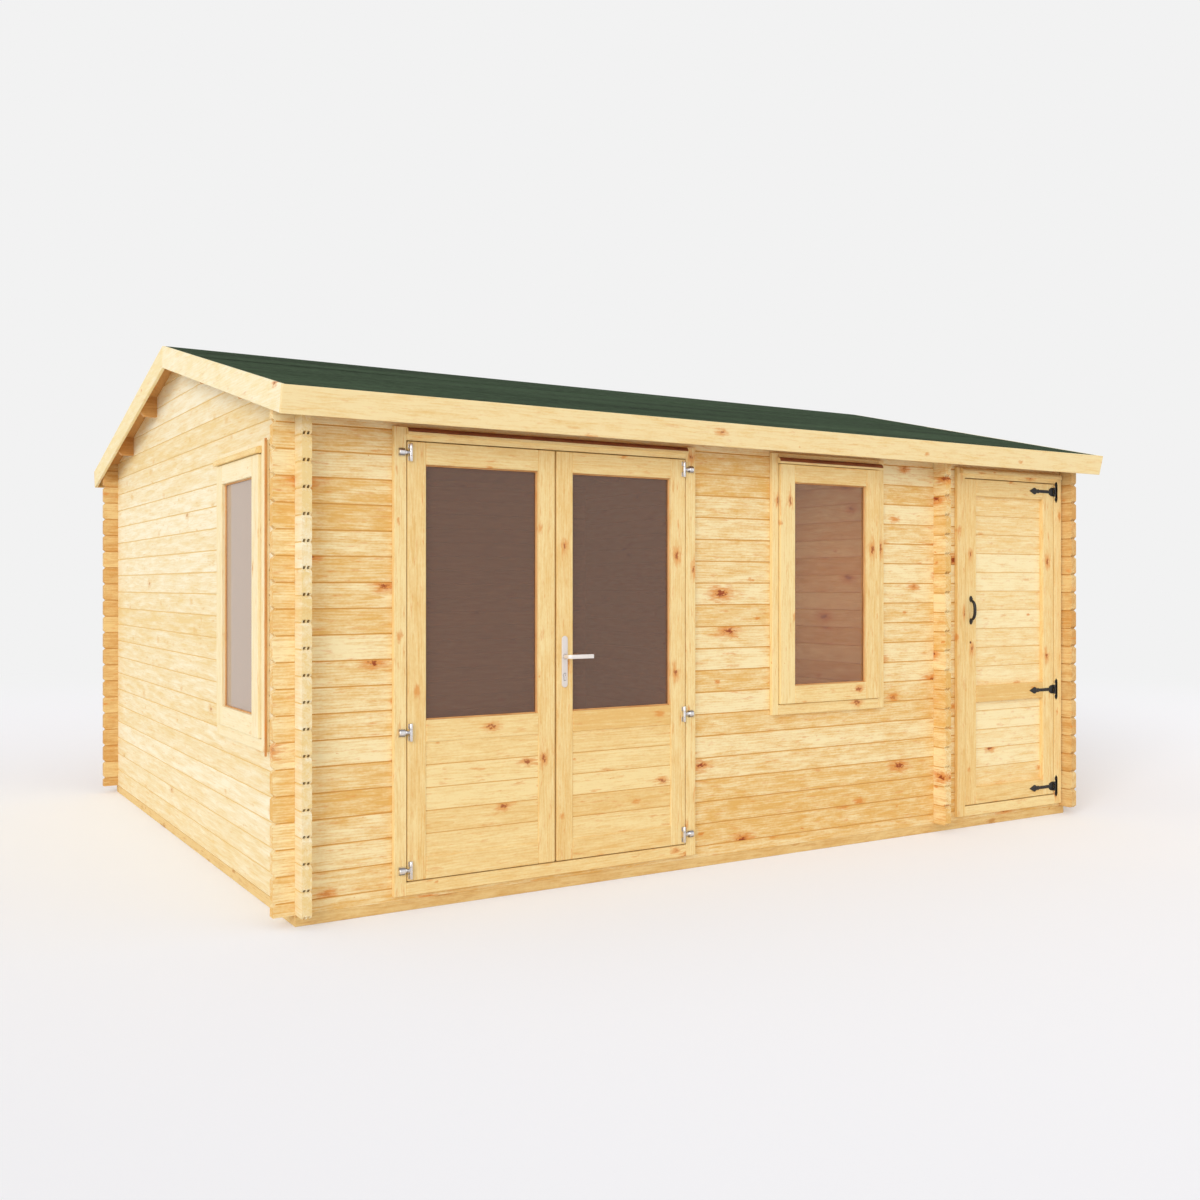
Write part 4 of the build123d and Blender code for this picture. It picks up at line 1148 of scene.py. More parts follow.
# ---- Roof ---------------------------------------------------------------------------------
@dataclass
class Roof:
    """Purlins, roof boards, felt, fascias and bargeboards."""

    felt: float = 3.0
    boarding: float = 19.0
    board_width: float = 96.0
    board_gap: float = 1.0
    board_arris: float = 1.5
    trim: float = 18.0
    trim_depth: float = 120.0
    mitre_gap: float = 1.0
    purlin_bevel: float = 26.0
    arris: float = 2.0
    felt_rolls: int = 3
    roll_step: float = 1.1  # how far a lapped roll's top lies below the topmost roll's
    roll_lap: float = 30.0
    purlin_tones: Pair = (0.3, 1.0)
    bounds: Box = field(default_factory=lambda: box_of("bargeboards"))

    def __post_init__(self) -> None:
        """Work out the ridge and the slope's length."""
        self.ridge = box_of("front_felt").high.z
        self.slope_end = box_of("fascias").high.y / math.cos(PITCH)
        self.inner_gable = box_of("front_felt").high.x

    def on_slope(self, side: int, down: float, below: float) -> Pair:
        """A point (y, z) on one slope.

        Args:
            side: -1 for the front slope, 1 for the rear.
            down: distance down the slope from the ridge.
            below: distance square below the felt's top.

        Returns:
            Its y and z.
        """
        y = down * math.cos(PITCH) - below * math.sin(PITCH)
        z = self.ridge - down * math.sin(PITCH) - below * math.cos(PITCH)
        return side * y, z

    def layer(self, side: int, spans: tuple[float, float, float, float], ends: Pair) -> Any:
        """A flat board or sheet lying on one slope.

        Args:
            side: -1 for the front slope, 1 for the rear.
            spans: distance down the slope of its upper and lower edge, then depth of top and underside.
            ends: where it starts and ends on X.

        Returns:
            The board as a new bmesh.
        """
        upper, lower, top, under = spans
        points = [
            self.on_slope(side, max(upper, top * math.tan(PITCH)), top),
            self.on_slope(side, lower, top),
            self.on_slope(side, lower, under),
            self.on_slope(side, max(upper, under * math.tan(PITCH)), under),
        ]
        return bar(points, 0, *ends)

    def build_purlins(self) -> None:
        """Five purlins, planed to the slopes, with the lower corner of each end sawn away."""
        piece = Piece("planed_purlins", 21)
        top = Vector((0.0, 0.0, self.ridge - (self.felt + self.boarding) / math.cos(PITCH)))
        for solid in solids_of("purlins"):
            low, high = solid.low, solid.high
            part = board(low, high, 0.0)
            for end, tip in ((-1, low.x), (1, high.x)):
                saw(part, Vector((tip, 0, low.z + self.purlin_bevel)), Vector((end, 0, -1)))
            for side in (-1, 1):
                if side * high.y > 0 or side * low.y > 0:
                    saw(part, top, slope_normal(side))
            round_edges(part, sharp_edges(part), self.arris)
            piece.add(part, Lie.ALONG_X, self.purlin_tones)
        piece.done("cabin", "roof_timber", SHADED_PURLINS, ("purlins",))

    def build_boards(self) -> None:
        """Roof boards from ridge to eave, laid side by side along each slope."""
        count = round(2 * self.inner_gable / self.board_width)
        step = 2 * self.inner_gable / count
        spans = (0.0, self.slope_end - self.trim, self.felt, self.felt + self.boarding)
        for name, side, seed in (("front_roof_boards", -1, 22), ("rear_roof_boards", 1, 23)):
            piece = Piece(f"laid_{name}", seed)
            for row in range(count):
                start = -self.inner_gable + row * step + self.board_gap / 2
                part = self.layer(side, spans, (start, start + step - self.board_gap))
                round_edges(part, sharp_edges(part), self.board_arris)
                piece.add(part, Lie.FLAT_ALONG_Y)
            piece.done("cabin", "roof_timber", SHADED_DECKING, (name,))

    def build_felt(self) -> None:
        """Felt in rolls along the eaves, each lapped over the one below."""
        length = self.slope_end - self.trim
        step = length / self.felt_rolls
        for name, side in (("front_felt", -1), ("rear_felt", 1)):
            piece = Piece(f"rolled_{name}", 24)
            for roll in range(self.felt_rolls):
                lower = min(length, (roll + 1) * step + self.roll_lap)
                spans = (roll * step, lower, self.roll_step if roll else 0.0, self.felt)
                piece.add(self.layer(side, spans, (-self.inner_gable, self.inner_gable)), Lie.FLAT_ALONG_X)
            piece.done("cabin", "felt", FELT, (name,))

    def trim_board(self, side: int, upper: float, lower: float, mitre: float, ends: Pair) -> Any:
        """One fascia or bargeboard.

        Args:
            side: -1 for the front slope, 1 for the rear.
            upper: distance down the slope of its upper edge.
            lower: the same for its lower edge.
            mitre: how much farther down its upper edge is at its underside.
            ends: where it starts and ends on X.

        Returns:
            The board as a new bmesh.
        """
        corners = ((upper, 0), (lower, 0), (lower, self.trim_depth), (upper + mitre, self.trim_depth))
        part = bar([self.on_slope(side, down, below) for down, below in corners], 0, *ends)
        round_edges(part, sharp_edges(part), self.arris)
        return part

    def build_trim(self) -> None:
        """Fascias along the eaves and bargeboards down the gables."""
        inner, outer = self.inner_gable, self.bounds.high.x
        foot, mitre = self.slope_end - self.trim, self.trim_depth * math.tan(PITCH)
        piece = Piece("planed_fascias", 25)
        for side in (-1, 1):
            ends = (self.bounds.low.x, outer)
            piece.add(self.trim_board(side, foot, self.slope_end, 0.0, ends), Lie.ALONG_X)
        piece.done("cabin", "roof_timber", TRIM, ("fascias",))
        piece = Piece("planed_bargeboards", 26)
        for side in (-1, 1):
            for ends in ((-outer, -inner), (inner, outer)):
                piece.add(self.trim_board(side, self.mitre_gap, foot, mitre, ends), Lie.ALONG_Y)
        piece.done("cabin", "roof_timber", LIT_TRIM, ("bargeboards",))

    def build(self) -> None:
        """The whole roof."""
        self.build_purlins()
        self.build_boards()
        self.build_felt()
        self.build_trim()


# ---- Joinery ------------------------------------------------------------------------------
def dressed_copy(node: str, lie: Lie, arris: float, seed: int) -> None:
    """A door frame node's own shape with its sharp edges taken off, each solid with its own grain.

    Args:
        node: the node to copy.
        lie: which way the grain runs.
        arris: width of the broken edges, in millimetres.
        seed: start of its random grain.
    """
    piece = Piece(f"dressed_{node}", seed)
    whole = merged(node)
    bmesh.ops.scale(whole, vec=(1 / MM, 1 / MM, 1 / MM), verts=whole.verts)
    parts = {"verts": whole.verts, "edges": whole.edges}
    bmesh.ops.dissolve_limit(whole, angle_limit=math.radians(1), use_dissolve_boundaries=False, **parts)
    round_edges(whole, sharp_edges(whole), arris)
    whole.verts.index_update()
    for island in islands(whole):
        part = whole.copy()
        part.verts.ensure_lookup_table()
        own = {vert.index for vert in island}
        spare = [vert for vert in part.verts if vert.index not in own]
        bmesh.ops.delete(part, geom=spare, context="VERTS")
        piece.add(part, lie)
    whole.free()
    piece.done("cabin", "joinery_timber", JOINERY, (node,))


@dataclass
class Leaf:
    """A framed door leaf: stiles, rails, a boarded panel and a pane or a second panel."""

    name: str
    stile: float
    rail: float = 100.0
    mid_rail: Pair = (753.5, 853.5)
    arris: float = 3.0
    joint: float = 0.4
    stile_tones: Pair = (0.0, 0.7)
    rail_tones: Pair = (0.2, 1.0)

    def build(self) -> None:
        """The stiles at full height, with the rails butted between them."""
        node = f"{self.name}_leaf_frame"
        piece = Piece(f"joined_{self.name}_leaf", 31 + len(self.name))
        low, high = box_of(node).low, box_of(node).high
        for x0, x1 in ((low.x, low.x + self.stile), (high.x - self.stile, high.x)):
            part = board((x0, low.y, low.z), (x1, high.y, high.z), self.arris)
            piece.add(part, Lie.UPRIGHT_IN_FRONT, self.stile_tones)
        x0, x1 = low.x + self.stile - self.joint, high.x - self.stile + self.joint
        for z0, z1 in ((low.z, low.z + self.rail), self.mid_rail, (high.z - self.rail, high.z)):
            piece.add(board((x0, low.y, z0), (x1, high.y, z1), self.arris), Lie.ALONG_X, self.rail_tones)
        piece.done(f"{self.name}_leaf", "joinery_timber", JOINERY, (node,))


@dataclass
class Panels:
    """Level tongued and grooved boards that fill a door panel."""

    node: str
    body: str
    spacing: float | None = None
    finish: Softwood = field(default_factory=lambda: JOINERY)
    boards: int = 5
    vee: float = 3.0
    edge: float = 9.7  # of the panel, hidden in the leaf's rebate
    last: float = 0.2  # a last board narrower than this share of the others is left out
    tones: Pair = (0.1, 0.8)

    def build(self) -> None:
        """Boards one above the other in each panel."""
        piece = Piece(f"boarded_{self.node}", 51 + len(self.node))
        for solid in solids_of(self.node):
            low, high = solid.low, solid.high
            start, clear = low.z + self.edge, high.z - self.edge - (low.z + self.edge)
            spacing = self.spacing or clear / self.boards
            count = int(clear / spacing - self.last)
            joints = [low.z] + [start + spacing * (step + 1) for step in range(count)] + [high.z]
            for z0, z1 in zip(joints, joints[1:]):
                part = board((low.x, low.y, z0), (high.x, high.y, z1), self.vee)
                piece.add(part, Lie.ALONG_X, self.tones, joints=True)
        piece.done(self.body, "joinery_timber", self.finish, (self.node,))


@dataclass(frozen=True)
class Opening:
    """A rectangle seen square on to its wall, in millimetres."""

    start: float
    end: float
    low: float
    high: float

    def drawn_in(self, sides: float, below: float | None = None, above: float | None = None) -> "Opening":
        """The rectangle drawn in.

        Args:
            sides: by how much at its sides.
            below: by how much at its foot, the same as at the sides if not given.
            above: by how much at its head, the same as at the foot if not given.

        Returns:
            The smaller rectangle.
        """
        below = sides if below is None else below
        above = below if above is None else above
        return Opening(self.start + sides, self.end - sides, self.low + below, self.high - above)


def opening_of(box: Box, across: int) -> Opening:
    """A box seen square on, in the front wall (0) or the left wall (1)."""
    return Opening(box.low[across], box.high[across], box.low.z, box.high.z)


def ring(piece: Piece, across: int, outer: Opening, inner: Opening, depth: Pair, arris: float) -> None:
    """Four boards round an opening: uprights at full height, the others between them.

    Args:
        piece: the piece they go into.
        across: 0 in the front wall, 1 in the left wall.
        outer: the ring's outside.
        inner: its opening.
        depth: from the face inwards, start and end.
        arris: width of the broken edges.
    """
    upright = Lie.UPRIGHT_IN_SIDE if across else Lie.UPRIGHT_IN_FRONT
    level = Lie.ALONG_Y if across else Lie.ALONG_X
    for start, end, low, high, lie in (
        (outer.start, inner.start, outer.low, outer.high, upright),
        (inner.end, outer.end, outer.low, outer.high, upright),
        (inner.start, inner.end, outer.low, inner.low, level),
        (inner.start, inner.end, inner.high, outer.high, level),
    ):
        near, far = in_wall(across, start, depth[0], low), in_wall(across, end, depth[1], high)
        piece.add(board(near, far, arris), lie, RING_TONES)


@dataclass
class Window:
    """One window: casing, lining, sash and pane, in the front wall or in the left wall."""

    across: int  # 0 in the front wall, 1 in the left wall
    frame_box: Box
    sash_box: Box
    glass_box: Box
    casing_depth: float = 25.0
    wall: float = 44.0
    inside_cover: float = 20.0
    lining_gap: float = 2.0
    lining_arris: float = 1.0
    lap: float = 23.0
    lap_below: float = 28.0
    lap_above: float = 20.0
    sash_play: float = 3.0
    rebate: float = 15.0
    stile: float = 102.0
    rail: float = 95.0
    bead: float = 6.0
    bead_set_back: float = 17.0
    arris: float = 2.5

    def build(self, frames: Piece, sashes: Piece, beads: Piece) -> None:
        """Add this window's boards to the pieces for frames, sashes and beads.

        Args:
            frames: takes casing, lining and inside cover.
            sashes: takes the sash.
            beads: takes the glazing beads.
        """
        across, through = self.across, 1 - self.across
        face = self.frame_box.low[through]
        wall_face = face + self.casing_depth
        room = wall_face + self.wall
        outer, sash = opening_of(self.frame_box, across), opening_of(self.sash_box, across)
        ring(frames, across, outer, sash.drawn_in(-self.sash_play), (face, wall_face), self.arris)
        gap, clear = self.lining_gap, sash.drawn_in(self.rebate)
        lining = outer.drawn_in(self.lap + gap, self.lap_below + gap, self.lap_above + gap)
        ring(frames, across, lining, clear, (wall_face, room), self.lining_arris)
        ring(frames, across, outer, clear, (room, room + self.inside_cover), self.arris)
        light = sash.drawn_in(self.stile, self.rail)
        depth = (self.sash_box.low[through], self.sash_box.high[through])
        ring(sashes, across, sash, light, depth, self.arris)
        depth = (depth[0] + self.bead_set_back, self.glass_box.low[through])
        ring(beads, across, light, light.drawn_in(self.bead), depth, BEAD_ARRIS)


@dataclass
class Drips:
    """Drip mouldings over doors and windows; the rounded tops of the front ones are painted dark red-brown
    as the shade under the fascia.
    """

    lip: float = 9.0
    flats: int = 8
    top_edge: float = 0.5  # left flat above the rounding
    sharp: float = 50.0
    arris: float = 1.0
    tones: Pair = (0.0, 0.5)
    shade_painted_until: float = 1338.0  # the store door's drip, beyond the partition, gets no painted shade
    tilt: float = 0.05  # a face that looks at least this much forwards and up gets the painted shade

    def moulding(self, solid: Box) -> Mesh:
        """One drip, its rounded top made by bevelling the upper front edge of a board.

        Args:
            solid: its box.

        Returns:
            The drip as a new bmesh.
        """
        part = board(solid.low, solid.high, 0.0)
        through = 1 - solid.across
        reach = solid.high[through] - solid.low[through]
        rise = solid.high.z - solid.low.z - self.lip
        low, top = solid.low[through] + WELD, solid.high.z - WELD
        edge = [e for e in part.edges if all(v.co.z > top and v.co[through] < low for v in e.verts)]
        round_edges(part, edge, min(reach, rise) - self.top_edge, self.flats)
        round_edges(part, sharp_edges(part, self.sharp), self.arris)
        return part

    def in_painted_shade(self, face: bpy.types.MeshPolygon, solids: list[Box]) -> bool:
        """Whether a face is part of the painted-shade top of one of these drips."""
        place, normal = face.center / MM, face.normal
        over = any(item.low.x < place.x < item.high.x and place.z > item.low.z + self.lip for item in solids)
        return over and normal.y < -self.tilt and normal.z > self.tilt

    def build(self) -> None:
        """All drips in one piece, with the painted-shade tops as a second finish."""
        piece = Piece("rounded_drip_boards", 64)
        solids = solids_of("drip_boards")
        for solid in solids:
            piece.add(self.moulding(solid), Lie.ALONG_Y if solid.across else Lie.ALONG_X, self.tones)
        thing = piece.done("cabin", "joinery_timber", JOINERY, ("drip_boards",))
        shade_slot = len(thing.data.materials)
        thing.data.materials.append(DRIP_TOP_SHADE.material())
        # the front drips' rounded tops take the painted shade
        fronts = [item for item in solids if item.across == 0 and item.high.x < self.shade_painted_until]
        for face in thing.data.polygons:
            if self.in_painted_shade(face, fronts):
                face.material_index = shade_slot


@dataclass
class Joinery:
    """Door frames, drips, windows, panes and door leaves."""

    arris: float = 2.0
    edge: float = 9.7  # of a door's pane, hidden in the leaf's rebate
    bead: float = 6.0
    bead_set_back: float = 16.0
    pane_arris: float = 0.6
    painted_room_light: Pair = (0.26, 1.0)  # how strongly panes in front and in the side carry the painted room light
    strip_width: Pair = (2.0, 12.0)
    strip_beyond: Pair = (18.0, 8.0)  # how far the strip runs below and above the casing
    strip: float = 7.0  # its thickness

    def build_windows(self) -> None:
        """Both windows, each with a frame, a sash and beads of its own."""
        boxes = zip(solids_of("window_frames"), solids_of("window_sashes"), solids_of("window_glass"))
        nodes = [("window_frames",), ("window_sashes",), ()]  # the first window's pieces stand for both
        for step, (frame_box, sash_box, glass_box) in enumerate(boxes):
            across = frame_box.across
            name = "side_window" if across else "front_window"
            timber = LIT_JOINERY if across else JOINERY
            kinds = ("boxed_frame", "joined_sash", "beads")
            pieces = [Piece(f"{kind}_{name}", 65 + 5 * step) for kind in kinds]
            Window(across, frame_box, sash_box, glass_box).build(*pieces)
            if across:
                self.painted_shadow_strip(frame_box)
            for piece, finish, replaced in zip(pieces, (timber, timber, SHADED_BEAD), nodes):
                piece.done("cabin", "joinery_timber", finish, () if step else replaced)

    def painted_shadow_strip(self, box: Box) -> None:
        """A narrow dark strip where the side window's casing meets the wall, down its front edge: painted
        shade for the shadow gap there.
        """
        piece = Piece("painted_shadow_strip", 77)
        (near, far), (below, above) = self.strip_width, self.strip_beyond
        low = (box.low.x + near, box.low.y - self.strip, box.low.z - below)
        part = board(low, (box.low.x + far, box.low.y, box.high.z + above), 1.0)
        piece.add(part, Lie.UPRIGHT_IN_SIDE, (0.6, 0.9))
        piece.done("cabin", "joinery_timber", SHADED_BEAD)

    def beads(self, name: str) -> None:
        """Four glazing beads that hold the pane in a door leaf."""
        leaf, glass = box_of(f"{name}_leaf_frame"), box_of(f"{name}_leaf_glass")
        light = opening_of(glass, 0).drawn_in(self.edge)
        piece = Piece(f"beads_{name}_leaf", 58)
        depth = (leaf.low.y + self.bead_set_back, glass.low.y)
        ring(piece, 0, light, light.drawn_in(self.bead), depth, BEAD_ARRIS)
        piece.done(f"{name}_leaf", "joinery_timber", SHADED_BEAD)

    def panes(self, node: str, body: str) -> None:
        """The panes of one node: those in front nearly clear, the side window's fully covered by the layer
        of painted light.
        """
        piece = Piece(f"panes_{node}", 70)
        for solid in solids_of(node):
            pane = board(solid.low, solid.high, self.pane_arris)
            piece.add(pane, Lie.UPRIGHT_IN_FRONT, self.painted_room_light[solid.across])
        piece.done(body, "window_glass", GLASS, (node,))

    def build(self) -> None:
        """Every joinery piece."""
        for node, lie, seed in (
            ("door_jambs", Lie.UPRIGHT_IN_FRONT, 61),
            ("door_heads", Lie.ALONG_X, 62),
            ("door_sills", Lie.ALONG_X, 63),
        ):
            dressed_copy(node, lie, self.arris, seed)
        Drips().build()
        self.build_windows()
        for name, stile in (("left", 90.0), ("right", 90.0), ("store", 98.0)):
            Leaf(name, stile).build()
        for name in ("left", "right"):
            Panels(f"{name}_leaf_panel", f"{name}_leaf").build()
        Panels("store_leaf_panels", "store_leaf", 115.0, PANELS).build()
        for name in ("left", "right"):
            self.beads(name)
        for node, body in (
            ("left_leaf_glass", "left_leaf"),
            ("right_leaf_glass", "right_leaf"),
            ("window_glass", "cabin"),
        ):
            self.panes(node, body)


# ---- Ironwork -----------------------------------------------------------------------------
@dataclass
class PinHinges:
    """Pin hinges of the double door: turned sockets on the frame, barrels on the leaves."""

    socket_radius: float = 20.0
    neck_radius: float = 11.0
    collar: float = 27.0  # length of the socket's wide part
    socket_clear: float = 15.0  # between the socket's end and the pin
    chamfer: float = 2.5
    shoulder: Pair = (6.0, 3.0)  # length and depth of the taper at the neck's end
    arm: tuple[Pair, ...] = ((1.0, 8.0), (2.0, 7.0))  # bite into each end, and radius
    barrel: float = 8.0
    pin_inset: float = 10.0  # pin centre from the leaf plate's edge, and from the frame's face
    knuckle_half: float = 14.0
    rim: float = 0.8
    gap: float = 1.0
    plate: float = 3.0
    web_half: float = 4.0
    arris: Pair = (0.8, 0.6)  # of the plate and of the web
    barrel_bite: Pair = (1.0, 4.0)  # how much shorter the plate is than its barrel, inside and outside
    # the barrel's end: distances from its tip, each with what the radius has lost
    dome: tuple[Pair, ...] = ((5.0, 0.0), (2.0, 1.6), (0.5, 4.5), (0.0, 8.0))
    crown_tone: float = 0.05
    # the arm is a little darker: painted shade on the neck between socket and barrel
    arm_tone: float = 0.3
    plate_tone: float = 0.5
    rim_tone: float = 0.1
    painted_flank: Pair = (0.32, 0.85)  # where the painted grey band along the socket's flanks starts and ends, as shares of the radius
    painted_flank_tone: Pair = (3.5, 0.8)  # how fast it darkens, and its darkest

    def socket(self, piece: Piece, box: Box, pin: Vector) -> None:
        """One socket with its knuckle.

        Args:
            piece: the piece it goes into.
            box: the socket's box.
            pin: the hinge's centre, on the pin's axis.
        """
        into = 1.0 if pin.x > box.centre.x else -1.0
        outer = box.low.x if into > 0 else box.high.x
        start = Vector((outer, box.high.y, box.centre.z))
        length = abs(pin.x - outer) - self.socket_clear
        wide, slim, edge = self.socket_radius, self.neck_radius, self.chamfer
        profile = [(0.0, 0.0), (0.0, wide - edge), (edge, wide), (self.collar - edge / 2, wide)]
        profile += [(self.collar, wide - edge / 2), (self.collar, slim)]
        taper, drop = self.shoulder
        profile += [(length - taper, slim), (length, slim - drop), (length, 0.0)]
        body = turned(start, 0, profile, 48, into)
        saw(body, Vector((0.0, box.high.y, 0.0)), Vector((0.0, 1.0, 0.0)))
        piece.add(body, Lie.ALONG_X, shading=lambda place: self.painted_highlights(place, start))
        (bite, thick), (sunk, thin) = self.arm
        near, far = outer + into * (length - bite), pin.x - into * (self.barrel - sunk)
        reach = abs(far - near)
        neck = (min(near, far), pin.y, pin.z)
        arm = turned(neck, 0, [(0, 0), (0, thick), (reach, thin), (reach, 0)])
        piece.add(arm, Lie.ALONG_X, self.arm_tone)
        barrel = knuckle(-self.knuckle_half, self.knuckle_half, self.barrel, self.rim)
        piece.add(turned(pin, 2, barrel), Lie.UPRIGHT_IN_FRONT, self.crown_tone)

    def painted_highlights(self, place: Vector, start: Vector) -> float:
        """Painted highlight and shade on the socket: a tone that is bright along its crown and rims, grey
        along its flanks.

        Args:
            place: a place on it.
            start: a point on its axis.

        Returns:
            The tone, 0 being brightest.
        """
        rise = abs(place.z - start.z) / self.socket_radius
        (begin, stop), (slope, darkest) = self.painted_flank, self.painted_flank_tone
        return max(0.0, min(darkest, slope * (rise - begin))) if rise < stop else self.rim_tone

    def pins(self, piece: Piece, box: Box, pin: Vector) -> None:
        """A leaf's half of one hinge: two barrels with domed ends, webs and plates.

        Args:
            piece: the piece it goes into.
            box: the half's box.
            pin: the hinge's centre, on the pin's axis.
        """
        radius, half = self.barrel, (box.high.z - box.low.z) / 2
        start = self.knuckle_half + self.gap
        profile = [(start, 0.0), (start, radius - self.rim), (start + self.rim, radius)]
        profile += [(half - along, radius - drop) for along, drop in self.dome]
        for side in (-1, 1):
            piece.add(turned(pin, 2, profile, into=side), Lie.UPRIGHT_IN_FRONT, self.crown_tone)
            near, far = self.barrel_bite
            z0, z1 = sorted((pin.z + side * (start + near), pin.z + side * (half - far)))
            low = (box.low.x, box.high.y - self.plate, z0)
            plate = board(low, (box.high.x, box.high.y, z1), self.arris[0])
            low = (pin.x - self.web_half, pin.y, z0 + SUNK)
            web = board(low, (pin.x + self.web_half, box.high.y - SUNK, z1 - SUNK), self.arris[1])
            for part in (plate, web):
                piece.add(part, Lie.UPRIGHT_IN_FRONT, self.plate_tone)

    def build(self) -> None:
        """All six hinges."""
        sockets = Piece("turned_hinge_sockets", 81)
        places = solids_of("hinge_sockets")
        for side in ("left", "right"):
            node = f"{side}_hinge_pins"
            barrels = Piece(f"turned_{node}", 82)
            for box in solids_of(node):
                pin = Vector((box.low.x + self.pin_inset, box.high.y - self.pin_inset, box.centre.z))
                self.socket(sockets, min(places, key=lambda item: (item.centre - box.centre).length), pin)
                self.pins(barrels, box, pin)
            barrels.done(f"{side}_leaf", "bright_steel", STEEL, (node,), smooth=METAL_SMOOTH)
        sockets.done("cabin", "bright_steel", STEEL, ("hinge_sockets",), smooth=METAL_SMOOTH)


@dataclass(frozen=True)
class Side:
    """One face of the leaf that carries the lever set."""

    x: float  # the spindle's place
    z: float  # its height
    face: float
    into: float  # 1 on the side that looks along +Y, -1 on the other

    def out(self, distance: float) -> float:
        """The place on Y at a distance out from the face."""
        return self.face + self.into * distance

    def block(self, half: float, low: float, high: float, depth: Pair, *arris: float) -> Any:
        """A block in line with the spindle, its depth given as two distances out from the leaf."""
        near, far = sorted(self.out(distance) for distance in depth)
        return board((self.x - half, near, low), (self.x + half, far, high), *arris)

    def turned(self, up: float, distance: float, profile: Outline, sides: int = 24) -> Any:
        """A round part square to the face, its profile running out from a distance from the leaf."""
        return turned((self.x, self.out(distance), up), 1, profile, sides, self.into)


